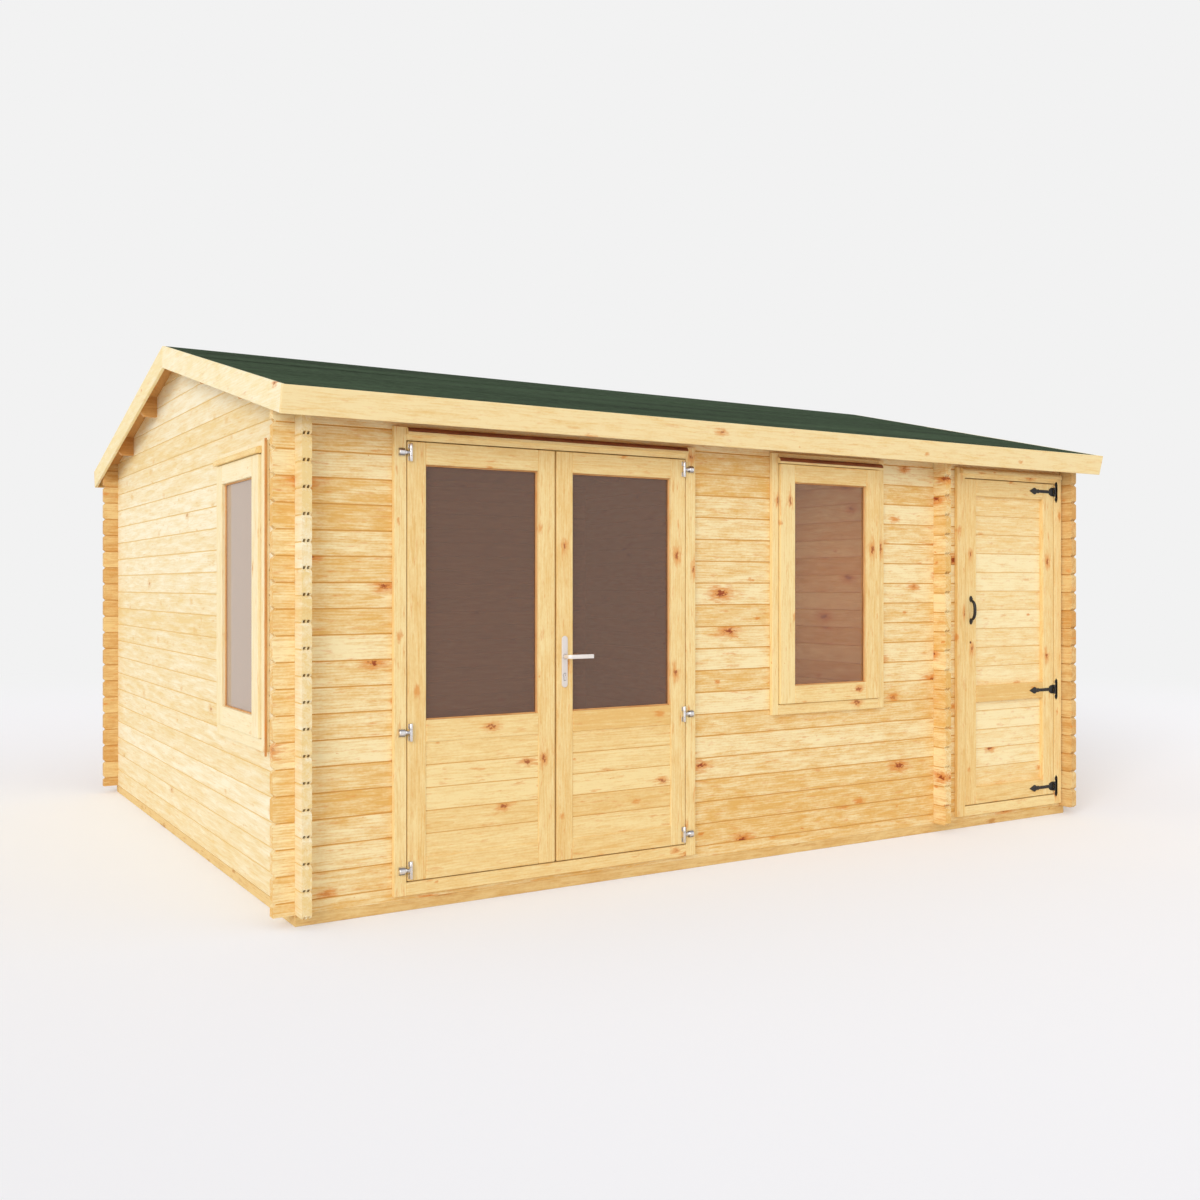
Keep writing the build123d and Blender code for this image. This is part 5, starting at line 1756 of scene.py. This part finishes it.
@dataclass
class LeverSet:
    """Long back plates with lock cylinders, and the levers on their spindle."""

    width: float = 32.0
    height: float = 249.0
    thickness: float = 6.0
    drop: float = 25.0  # from the spindle down to the plate's middle
    rose: float = 15.0
    rose_wall: float = 2.6
    rose_lift: float = 3.0
    neck: float = 8.6
    grip: float = 10.0
    bend: float = 16.0
    bend_steps: int = 8
    play: float = 1.0
    proud: float = 46.0
    spindle: float = 4.0
    lock_drop: float = 98.0
    lock_proud: float = 4.0
    lock_radius: float = 8.5
    lock_height: float = 33.0
    tail_half: float = 5.0
    dish: float = 1.2  # depth of the lock cylinder's sunk face
    shadow: float = 1.5  # width of the painted shadow gap round the cylinder
    shadow_depth: Pair = (-0.5, 0.35)
    key_half: Pair = (1.1, 4.2)
    plate_round: tuple[float, int] = (1.8, 3)  # how far in edges are rounded, and with how many flats
    lever_round: tuple[float, int] = (2.2, 3)
    plate_tone: float = 0.35
    rose_tone: float = 0.7
    lock_tone: float = 0.3

    def outline(self, x: float, low: float, high: float, half: float, steps: int = 12) -> Outline:
        """Outline of a plate with round ends, as (x, z).

        Args:
            x: its middle.
            low: its foot.
            high: its head.
            half: half its width.
            steps: flats round each end.

        Returns:
            Points round it.
        """
        points = []
        for centre, start in ((high - half, 0.0), (low + half, math.pi)):
            angles = [start + math.pi * step / steps for step in range(steps + 1)]
            points += [(x + half * math.cos(angle), centre + half * math.sin(angle)) for angle in angles]
        return points

    def lock(self, side: Side) -> Pair:
        """Heights of the lock's foot and of its cylinder's axis."""
        low = side.z - self.lock_drop - self.lock_height / 2
        return low, low + self.lock_height - self.lock_radius

    def plate(self, piece: Piece, side: Side) -> None:
        """One back plate with its rose and lock cylinder.

        Args:
            piece: the piece it goes into.
            side: the face that it is on.
        """
        centre, (low, axis) = side.z - self.drop, self.lock(side)
        ends = sorted((side.face, side.out(self.thickness)))
        shape = self.outline(side.x, centre - self.height / 2, centre + self.height / 2, self.width / 2)
        part = bar(shape, 1, *ends)
        round_edges(part, sharp_edges(part, PRESSED_EDGE), *self.plate_round)
        piece.add(part, Lie.UPRIGHT_IN_FRONT, self.plate_tone)
        inner, outer, lift = self.rose - self.rose_wall, self.rose, self.rose_lift
        rose = [(-1, inner), (-1, outer), (lift - 1, outer), (lift, outer - 1), (lift, inner), (-1, inner)]
        piece.add(side.turned(side.z, self.thickness, rose, 36), Lie.ALONG_X, self.rose_tone)
        wide, reach, sunk = self.lock_radius, self.lock_proud, self.lock_proud - self.dish
        lock = [(-1.0, 0.0), (-1.0, wide), (reach - 0.8, wide), (reach, wide - 0.8)]
        lock += [(reach, wide - 3.0), (sunk, wide - 3.4), (sunk, 0.0)]
        piece.add(side.turned(axis, self.thickness, lock), Lie.ALONG_X, self.lock_tone)
        depth = (self.thickness, self.thickness + sunk)
        tail = side.block(self.tail_half, low, axis - 2.0, depth, 1.5, 2)
        piece.add(tail, Lie.UPRIGHT_IN_FRONT, self.lock_tone)

    def painted_lock_shade(self, piece: Piece, side: Side) -> None:
        """Painted shade: a dark sheet for the slot in a lock cylinder, and a dark ring and tail for the gap
        that runs round the cylinder.
        """
        low, axis = self.lock(side)
        gap, half = self.lock_radius + self.shadow, self.tail_half + self.shadow
        start, end = self.shadow_depth
        disc = side.turned(axis, self.thickness, [(start, 0.0), (start, gap), (end, gap), (end, 0.0)])
        piece.add(disc, Lie.ALONG_X, 0.0)
        depth = (self.thickness + start, self.thickness + end)
        tail = side.block(half, low - self.shadow, axis, depth, 0.1)
        piece.add(tail, Lie.UPRIGHT_IN_FRONT, 0.0)
        wide, tall = self.key_half
        surface = self.thickness + self.lock_proud
        slot = side.block(wide, axis - tall, axis + tall, (surface - 1.4, surface - 1.0), 0.15)
        piece.add(slot, Lie.UPRIGHT_IN_FRONT)

    def lever(self, piece: Piece, side: Side, reach: float) -> None:
        """One lever: a squared bar that grows from its neck to a flat cut end.

        Args:
            piece: the piece it goes into.
            side: the face that it is on.
            reach: the lever's end from the spindle.
        """
        end = side.out(self.thickness + self.proud)
        path = [Vector((side.x, side.out(self.thickness + self.play), side.z))]
        for step in range(self.bend_steps + 1):
            angle = math.pi / 2 * step / self.bend_steps
            across, back = self.bend * (1 - math.cos(angle)), self.bend * (1 - math.sin(angle))
            path.append(Vector((side.x + across, end - side.into * back, side.z)))
        path.append(Vector((side.x + reach, end, side.z)))
        sizes = [self.neck + (self.grip - self.neck) * step / (len(path) - 1) for step in range(len(path))]
        corners = [size * math.sqrt(2.0) for size in sizes]
        part = swept(path, corners, Vector((0.0, 0.0, 1.0)), 4, 45.0)
        round_edges(part, sharp_edges(part, PRESSED_EDGE), *self.lever_round)
        piece.add(part, Lie.ALONG_X, 0.0)

    def build(self) -> None:
        """Plates on the leaf, levers and spindle on their own body."""
        box = box_of("door_levers")
        x, z, reach = box.low.x + self.grip, box.centre.z, box.high.x - box.low.x - self.grip
        plates, lock_shade_parts = Piece("lever_back_plates", 83), Piece("painted_lock_shade_parts", 84)
        levers = Piece("squared_levers", 85)
        front, rear = sorted(solids_of("handle_plates"), key=lambda item: item.centre.y)
        sides = (Side(x, z, front.high.y, -1.0), Side(x, z, rear.low.y, 1.0))
        for side in sides:
            self.plate(plates, side)
            self.painted_lock_shade(lock_shade_parts, side)
            self.lever(levers, side, reach)
        half, (start, end) = self.spindle, (side.out(self.thickness + self.spindle) for side in sides)
        levers.add(board((x - half, start, z - half), (x + half, end, z + half), 0.5), Lie.ALONG_Y)
        plates.done("right_leaf", "bright_steel", SATIN, ("handle_plates",), smooth=METAL_SMOOTH)
        lock_shade_parts.done("right_leaf", "black_iron", IRON)
        levers.done("levers", "bright_steel", SATIN, ("door_levers",), smooth=METAL_SMOOTH)


@dataclass
class StrapHinges:
    """Ornamental strap hinges of the store door, with domed bolt heads."""

    thickness: float = 4.0
    knuckle: float = 5.5
    knuckle_half: float = 12.0
    rim: float = 0.6
    gap: float = 1.0
    pin: float = 3.0
    bolt: float = 4.6
    edge_round: tuple[float, int] = (1.0, 2)  # how far in edges are rounded, and with how many flats
    cheek: tuple[Triple, Triple] = ((-5.3, 0.0, -12.0), (2.0, 5.4, 12.0))  # from the plate to its knuckle
    arris: Pair = (0.4, 0.5)  # of the cheek, and of webs and roots
    strap_root: float = 216.0  # where the strap turns up to its knuckles
    plate_inner: float = 6.5  # the plate's half width beside the knuckles
    beside: float = 28.0  # how far up and down that narrow part runs
    # half outlines of the strap, from its tip, and of the plate, from its middle: (along, half width)
    strap_half: tuple[Pair, ...] = (
        *((0.0, 0.0), (8.0, 4.0), (26.0, 13.0), (40.0, 19.5), (47.0, 21.0), (54.0, 19.0)),
        *((64.0, 12.5), (72.0, 10.5), (77.0, 13.0), (83.0, 13.0), (87.0, 9.2), (150.0, 9.6)),
        *((185.5, 9.6), (186.0, 19.5), (196.0, 19.5), (196.5, 25.0), (208.0, 25.0)),
        *((208.5, 27.5), (227.2, 27.5)),
    )
    plate_half: tuple[Pair, ...] = (
        *((0.0, 11.0), (25.5, 11.0), (28.5, 5.0), (35.0, 4.6), (40.0, 9.6), (46.0, 11.0)),
        *((53.0, 10.0), (60.0, 5.5), (66.0, 0.0)),
    )
    strap_bolts: tuple[Pair, ...] = (
        *((58.0, 0.0), (118.0, 0.0), (172.0, 0.0)),
        *((213.0, 18.0), (213.0, -18.0)),
    )
    plate_bolts: tuple[float, ...] = (-46.0, 46.0)

    def head(self, piece: Piece, x: float, face: float, z: float) -> None:
        """One domed bolt head."""
        wide = self.bolt
        dome = [(0.5, 0.0), (0.5, wide), (-0.6, wide), (-1.6, wide * 0.8), (-2.4, wide * 0.45), (-2.7, 0.0)]
        piece.add(turned((x, face, z), 1, dome, 14), Lie.ALONG_X)

    def ring(self, piece: Piece, pin: Vector, low: float, high: float) -> None:
        """A length of the knuckle, its rims taken off."""
        piece.add(turned(pin, 2, knuckle(low, high, self.knuckle, self.rim), 20), Lie.UPRIGHT_IN_FRONT)

    def flat(self, piece: Piece, outline: Outline, face: float, lie: Lie) -> None:
        """A flat part against the timber, its front edges rounded.

        Args:
            piece: the piece it goes into.
            outline: its outline as (x, z).
            face: the timber's face.
            lie: the way of its length.
        """
        part = bar(outline, 1, face - self.thickness, face)
        round_edges(part, sharp_edges(part, PRESSED_EDGE, before=face - SUNK), *self.edge_round)
        piece.add(part, lie)

    def strap(self, piece: Piece, box: Box) -> None:
        """The leaf's half: the strap, its knuckles and bolts.

        Args:
            piece: the piece it goes into.
            box: the half's box.
        """
        tip, z, face = box.low.x, box.centre.z, box.high.y
        pin = Vector((box.high.x - self.knuckle, box.low.y + self.knuckle, z))
        outline = [(tip + along, z + width) for along, width in mirrored(list(self.strap_half))]
        self.flat(piece, outline, face, Lie.ALONG_X)
        half = (box.high.z - box.low.z) / 2
        for side in (-1, 1):
            low, high = sorted((side * (self.knuckle_half + self.gap), side * half))
            self.ring(piece, pin, low, high)
            near = (tip + self.strap_root, pin.y - 2.0, z + low)
            root = board(near, (pin.x, face, z + high), self.arris[1])
            piece.add(root, Lie.UPRIGHT_IN_FRONT)
        core = [(-half, 0), (-half, self.pin), (half, self.pin), (half, 0)]
        piece.add(turned(pin, 2, core, 16), Lie.ALONG_X)
        for along, rise in self.strap_bolts:
            self.head(piece, tip + along, face - self.thickness, z + rise)

    def plate(self, piece: Piece, box: Box) -> None:
        """The frame's half: a plate with spear-shaped ends, its knuckle and bolts.

        Args:
            piece: the piece it goes into.
            box: the half's box.
        """
        z, face, tall = box.centre.z, box.high.y, self.knuckle_half
        middle = box.high.x - self.plate_half[0][1]
        upper, lower = self.plate_half[1:], self.plate_half[-2:0:-1]
        right = [(width, along) for along, width in upper]
        foot = [(width, -along) for along, width in reversed(upper)]
        narrow = [
            (-min(width, self.plate_inner) if along < self.beside else -width, along)
            for along, width in lower
        ]
        left = [(across, -along) for across, along in narrow] + narrow[::-1]
        outline = [(middle + across, z + along) for across, along in foot + left + right]
        self.flat(piece, outline, face, Lie.UPRIGHT_IN_FRONT)
        pin = Vector((box.low.x + self.knuckle, box.low.y + self.knuckle, z))
        self.ring(piece, pin, -tall, tall)
        cheek = board(*(pin + Vector(corner) for corner in self.cheek), self.arris[0])
        end = (middle - self.plate_inner + 2, face, z + tall)
        web = board((pin.x, pin.y, z - tall), end, self.arris[1])
        for part in (cheek, web):
            piece.add(part, Lie.UPRIGHT_IN_FRONT)
        for rise in self.plate_bolts:
            self.head(piece, middle, face - self.thickness, z + rise)

    def build(self) -> None:
        """All three hinges."""
        plates, straps = Piece("spear_hinge_plates", 86), Piece("ornamental_straps", 87)
        for box in solids_of("strap_hinge_plates"):
            self.plate(plates, box)
        for box in solids_of("strap_hinges"):
            self.strap(straps, box)
        plates.done("cabin", "black_iron", IRON, ("strap_hinge_plates",), smooth=METAL_SMOOTH)
        straps.done("store_leaf", "black_iron", IRON, ("strap_hinges",), smooth=METAL_SMOOTH)


@dataclass
class PullHandle:
    """Forged bow handle with leaf-shaped feet, and the small keyhole below it."""

    half: float = 68.0
    rod: float = 9.4
    taper: float = 0.2  # how much thinner the bow is at its feet
    proud: float = 35.0
    # the bow's bend from its foot: how far out from the door and above the foot's middle
    bend: tuple[Pair, ...] = ((8.0, 10.0), (26.0, 16.0), (35.0, 30.0))
    stations: int = 14
    foot_length: float = 36.0
    foot_width: float = 19.0
    foot_thickness: float = 8.0
    foot_steps: int = 6
    foot_edge: float = 50.0  # its edges that turn more than this many degrees are rounded
    foot_round: tuple[float, int] = (1.5, 3)  # how far in, and with how many flats
    leaf_power: float = 1.3  # above 1 draws the foot's ends out to points
    knob: tuple[Pair, ...] = (
        *((-3.0, 0.0), (-3.0, 9.2), (-9.0, 9.0)),
        *((-13.0, 7.4), (-15.0, 4.0), (-15.6, 0.0)),
    )
    keyhole_drop: float = 195.0
    keyhole_rim: tuple[Pair, ...] = (
        *((0.5, 0.0), (0.5, 7.0), (-1.0, 7.0), (-1.6, 6.0)),
        *((-1.6, 3.4), (-0.4, 3.0), (-0.4, 0.0)),
    )

    def foot(self, piece: Piece, x: float, face: float, z: float) -> None:
        """One foot: a leaf-shaped plate with a collar that runs into the bow."""
        width, length = self.foot_width / 2, self.foot_length / 2
        steps = self.foot_steps
        angles = [math.pi / 2 * step / steps for step in range(-steps, steps + 1)]
        half = [(length * math.sin(angle), width * math.cos(angle) ** self.leaf_power) for angle in angles]
        outline = [(x + across, z + along) for along, across in mirrored(half)]
        part = bar(outline, 1, face - self.foot_thickness, face)
        round_edges(part, sharp_edges(part, self.foot_edge, before=face - SUNK), *self.foot_round)
        piece.add(part, Lie.UPRIGHT_IN_FRONT)
        piece.add(turned((x, face, z), 1, list(self.knob)), Lie.ALONG_X)

    def build(self) -> None:
        """The bow, the feet and the keyhole."""
        box = box_of("pull_handle")
        piece = Piece("forged_bow_handle", 88)
        x, z, face = box.centre.x, box.centre.z, box.high.y
        knots = [Vector((x, face - out, z - self.half + up)) for out, up in self.bend]
        lower = geometry.interpolate_bezier(*knots, Vector((x, face - self.proud, z)), self.stations)
        upper = [Vector((x, place.y, 2 * z - place.z)) for place in reversed(lower[:-1])]
        path = [Vector(place) for place in lower] + upper
        turns = [math.sin(math.pi * step / (len(path) - 1)) for step in range(len(path))]
        radii = [self.rod * (1 - self.taper + self.taper * swell) for swell in turns]
        piece.add(swept(path, radii, Vector((1.0, 0.0, 0.0)), 16, 0.0), Lie.UPRIGHT_IN_FRONT)
        for side in (-1, 1):
            self.foot(piece, x, face, z + side * self.half)
        piece.done("store_leaf", "black_iron", IRON, ("pull_handle",), smooth=40)
        keyhole = Piece("keyhole_ring", 89)
        place = (x, face, z - self.keyhole_drop)
        keyhole.add(turned(place, 1, list(self.keyhole_rim)), Lie.ALONG_X)
        keyhole.done("store_leaf", "black_iron", DARK_KEYHOLE_METAL, smooth=METAL_SMOOTH)


@dataclass
class Ironwork:
    """Every piece of metal."""

    def build(self) -> None:
        """Hinges, lever set and pull handle."""
        for part in (PinHinges(), LeverSet(), StrapHinges(), PullHandle()):
            part.build()


# ---- Stage --------------------------------------------------------------------------------
@dataclass(frozen=True)
class StageFloor(Finish):
    """A matt paper floor that fades into the plain background."""

    tint: str = "#F2F2F2"
    paper: str = "#F5F6FB"
    clear: float = 7.0  # metres from the middle where the fade starts
    gone: float = 15.0

    def surface(self, add: Adder) -> Any:
        """Matt near the object, plain light far from it.

        Args:
            add: adds a node to the material.

        Returns:
            The shader.
        """
        away = add("VectorMath", {0: add("TexCoord").outputs["Object"]}, operation="LENGTH")
        reach = {"Value": away, "From Min": self.clear, "From Max": self.gone}
        fade = add("MapRange", reach, interpolation_type="SMOOTHSTEP")
        paper = add("BsdfDiffuse", {"Color": colour(self.paper), "Roughness": 0.5})
        light = add("Emission", {"Color": colour(self.tint), "Strength": 1.0})
        return add("MixShader", {0: fade, 1: paper, 2: light})


@dataclass
class Studio:
    """Floor, background, soft lamps and camera."""

    floor_size: float = 120.0
    background: str = "#F2F2F2"
    sky: str = "#FFFDFA"
    sky_light: float = 0.80
    sun_light: float = 1.10
    sun_spread: float = math.radians(35)
    sun_from: Triple = (-0.74, -0.57, 0.33)
    room_light: float = 5.5
    room_lamp_size: float = 0.6
    room_lamp_spread: float = math.radians(90)
    room_lamp_at: Triple = (-0.2, -1.35, 1.95)
    room_lamp_towards: Triple = (1.0, 0.1, -0.5)
    camera_at: Triple = (-4.1462, -7.1559, 1.4582)
    camera_turn: float = math.radians(-31.605)
    lens: float = 36.6
    sensor: float = 36.0
    shift: Pair = (0.00075, -0.0114)

    def build_floor(self) -> None:
        """A wide paper floor under the cabin."""
        mesh = bmesh.new()
        bmesh.ops.create_grid(mesh, x_segments=2, y_segments=2, size=self.floor_size / 2)
        thing = made("paper_floor", mesh, StageFloor("matt_paper"))

    def build_background(self) -> None:
        """A plain background, dimmer as light than it looks."""
        world = bpy.data.worlds.new("plain_background")
        bpy.context.scene.world = world
        world.use_nodes = True
        world.node_tree.nodes.clear()
        add = partial(add_node, world.node_tree)
        rays = add("LightPath").outputs
        mirror = add("Math", {0: rays["Is Camera Ray"], 1: rays["Is Glossy Ray"]}, operation="MAXIMUM")
        seen = add("Math", {0: mirror, 1: rays["Is Transmission Ray"]}, operation="MAXIMUM")
        light = add("Background", {"Color": colour(self.sky), "Strength": self.sky_light})
        view = add("Background", {"Color": colour(self.background), "Strength": 1.0})
        add("OutputWorld", {"Surface": add("MixShader", {0: seen, 1: light, 2: view})})

    def lamp(self, data: bpy.types.Light, place: Vector, towards: Vector) -> None:
        """Stand a lamp in the scene.

        Args:
            data: the lamp.
            place: where it stands.
            towards: the way it shines.
        """
        thing = placed_in_scene(data.name, data)
        thing.location = place
        thing.rotation_euler = towards.to_track_quat("-Z", "Y").to_euler()

    def build_lamps(self) -> None:
        """A wide, soft lamp from the left, and one in the main room for the partition."""
        sun = bpy.data.lights.new("soft_lamp", "SUN")
        sun.energy = self.sun_light
        sun.angle = self.sun_spread
        place = Vector(self.sun_from)
        self.lamp(sun, place * 10, -place)
        room = bpy.data.lights.new("room_lamp", "AREA")
        room.shape = "SQUARE"
        room.size = self.room_lamp_size
        room.energy = self.room_light
        room.spread = self.room_lamp_spread
        self.lamp(room, Vector(self.room_lamp_at), Vector(self.room_lamp_towards))

    def build_camera(self) -> None:
        """The camera, level at eye height in front of the left corner."""
        data = bpy.data.cameras.new("camera")
        data.sensor_width = self.sensor
        data.lens = self.lens
        data.shift_x, data.shift_y = self.shift
        thing = placed_in_scene("camera", data)
        thing.location = self.camera_at
        thing.rotation_euler = (math.radians(90), 0.0, self.camera_turn)
        bpy.context.scene.camera = thing

    def build(self) -> None:
        """The whole stage."""
        bpy.context.scene.view_settings.view_transform = "Standard"
        self.build_floor()
        self.build_background()
        self.build_lamps()
        self.build_camera()


def main() -> None:
    """Build the stage, then the cabin's pieces in order."""
    logging.basicConfig(level=logging.INFO, format="%(message)s")
    for part in (Studio(), Base(), LogWalls(), Roof(), Joinery(), Ironwork()):
        part.build()
    bpy.context.view_layer.update()


if __name__ == "__main__":
    main()
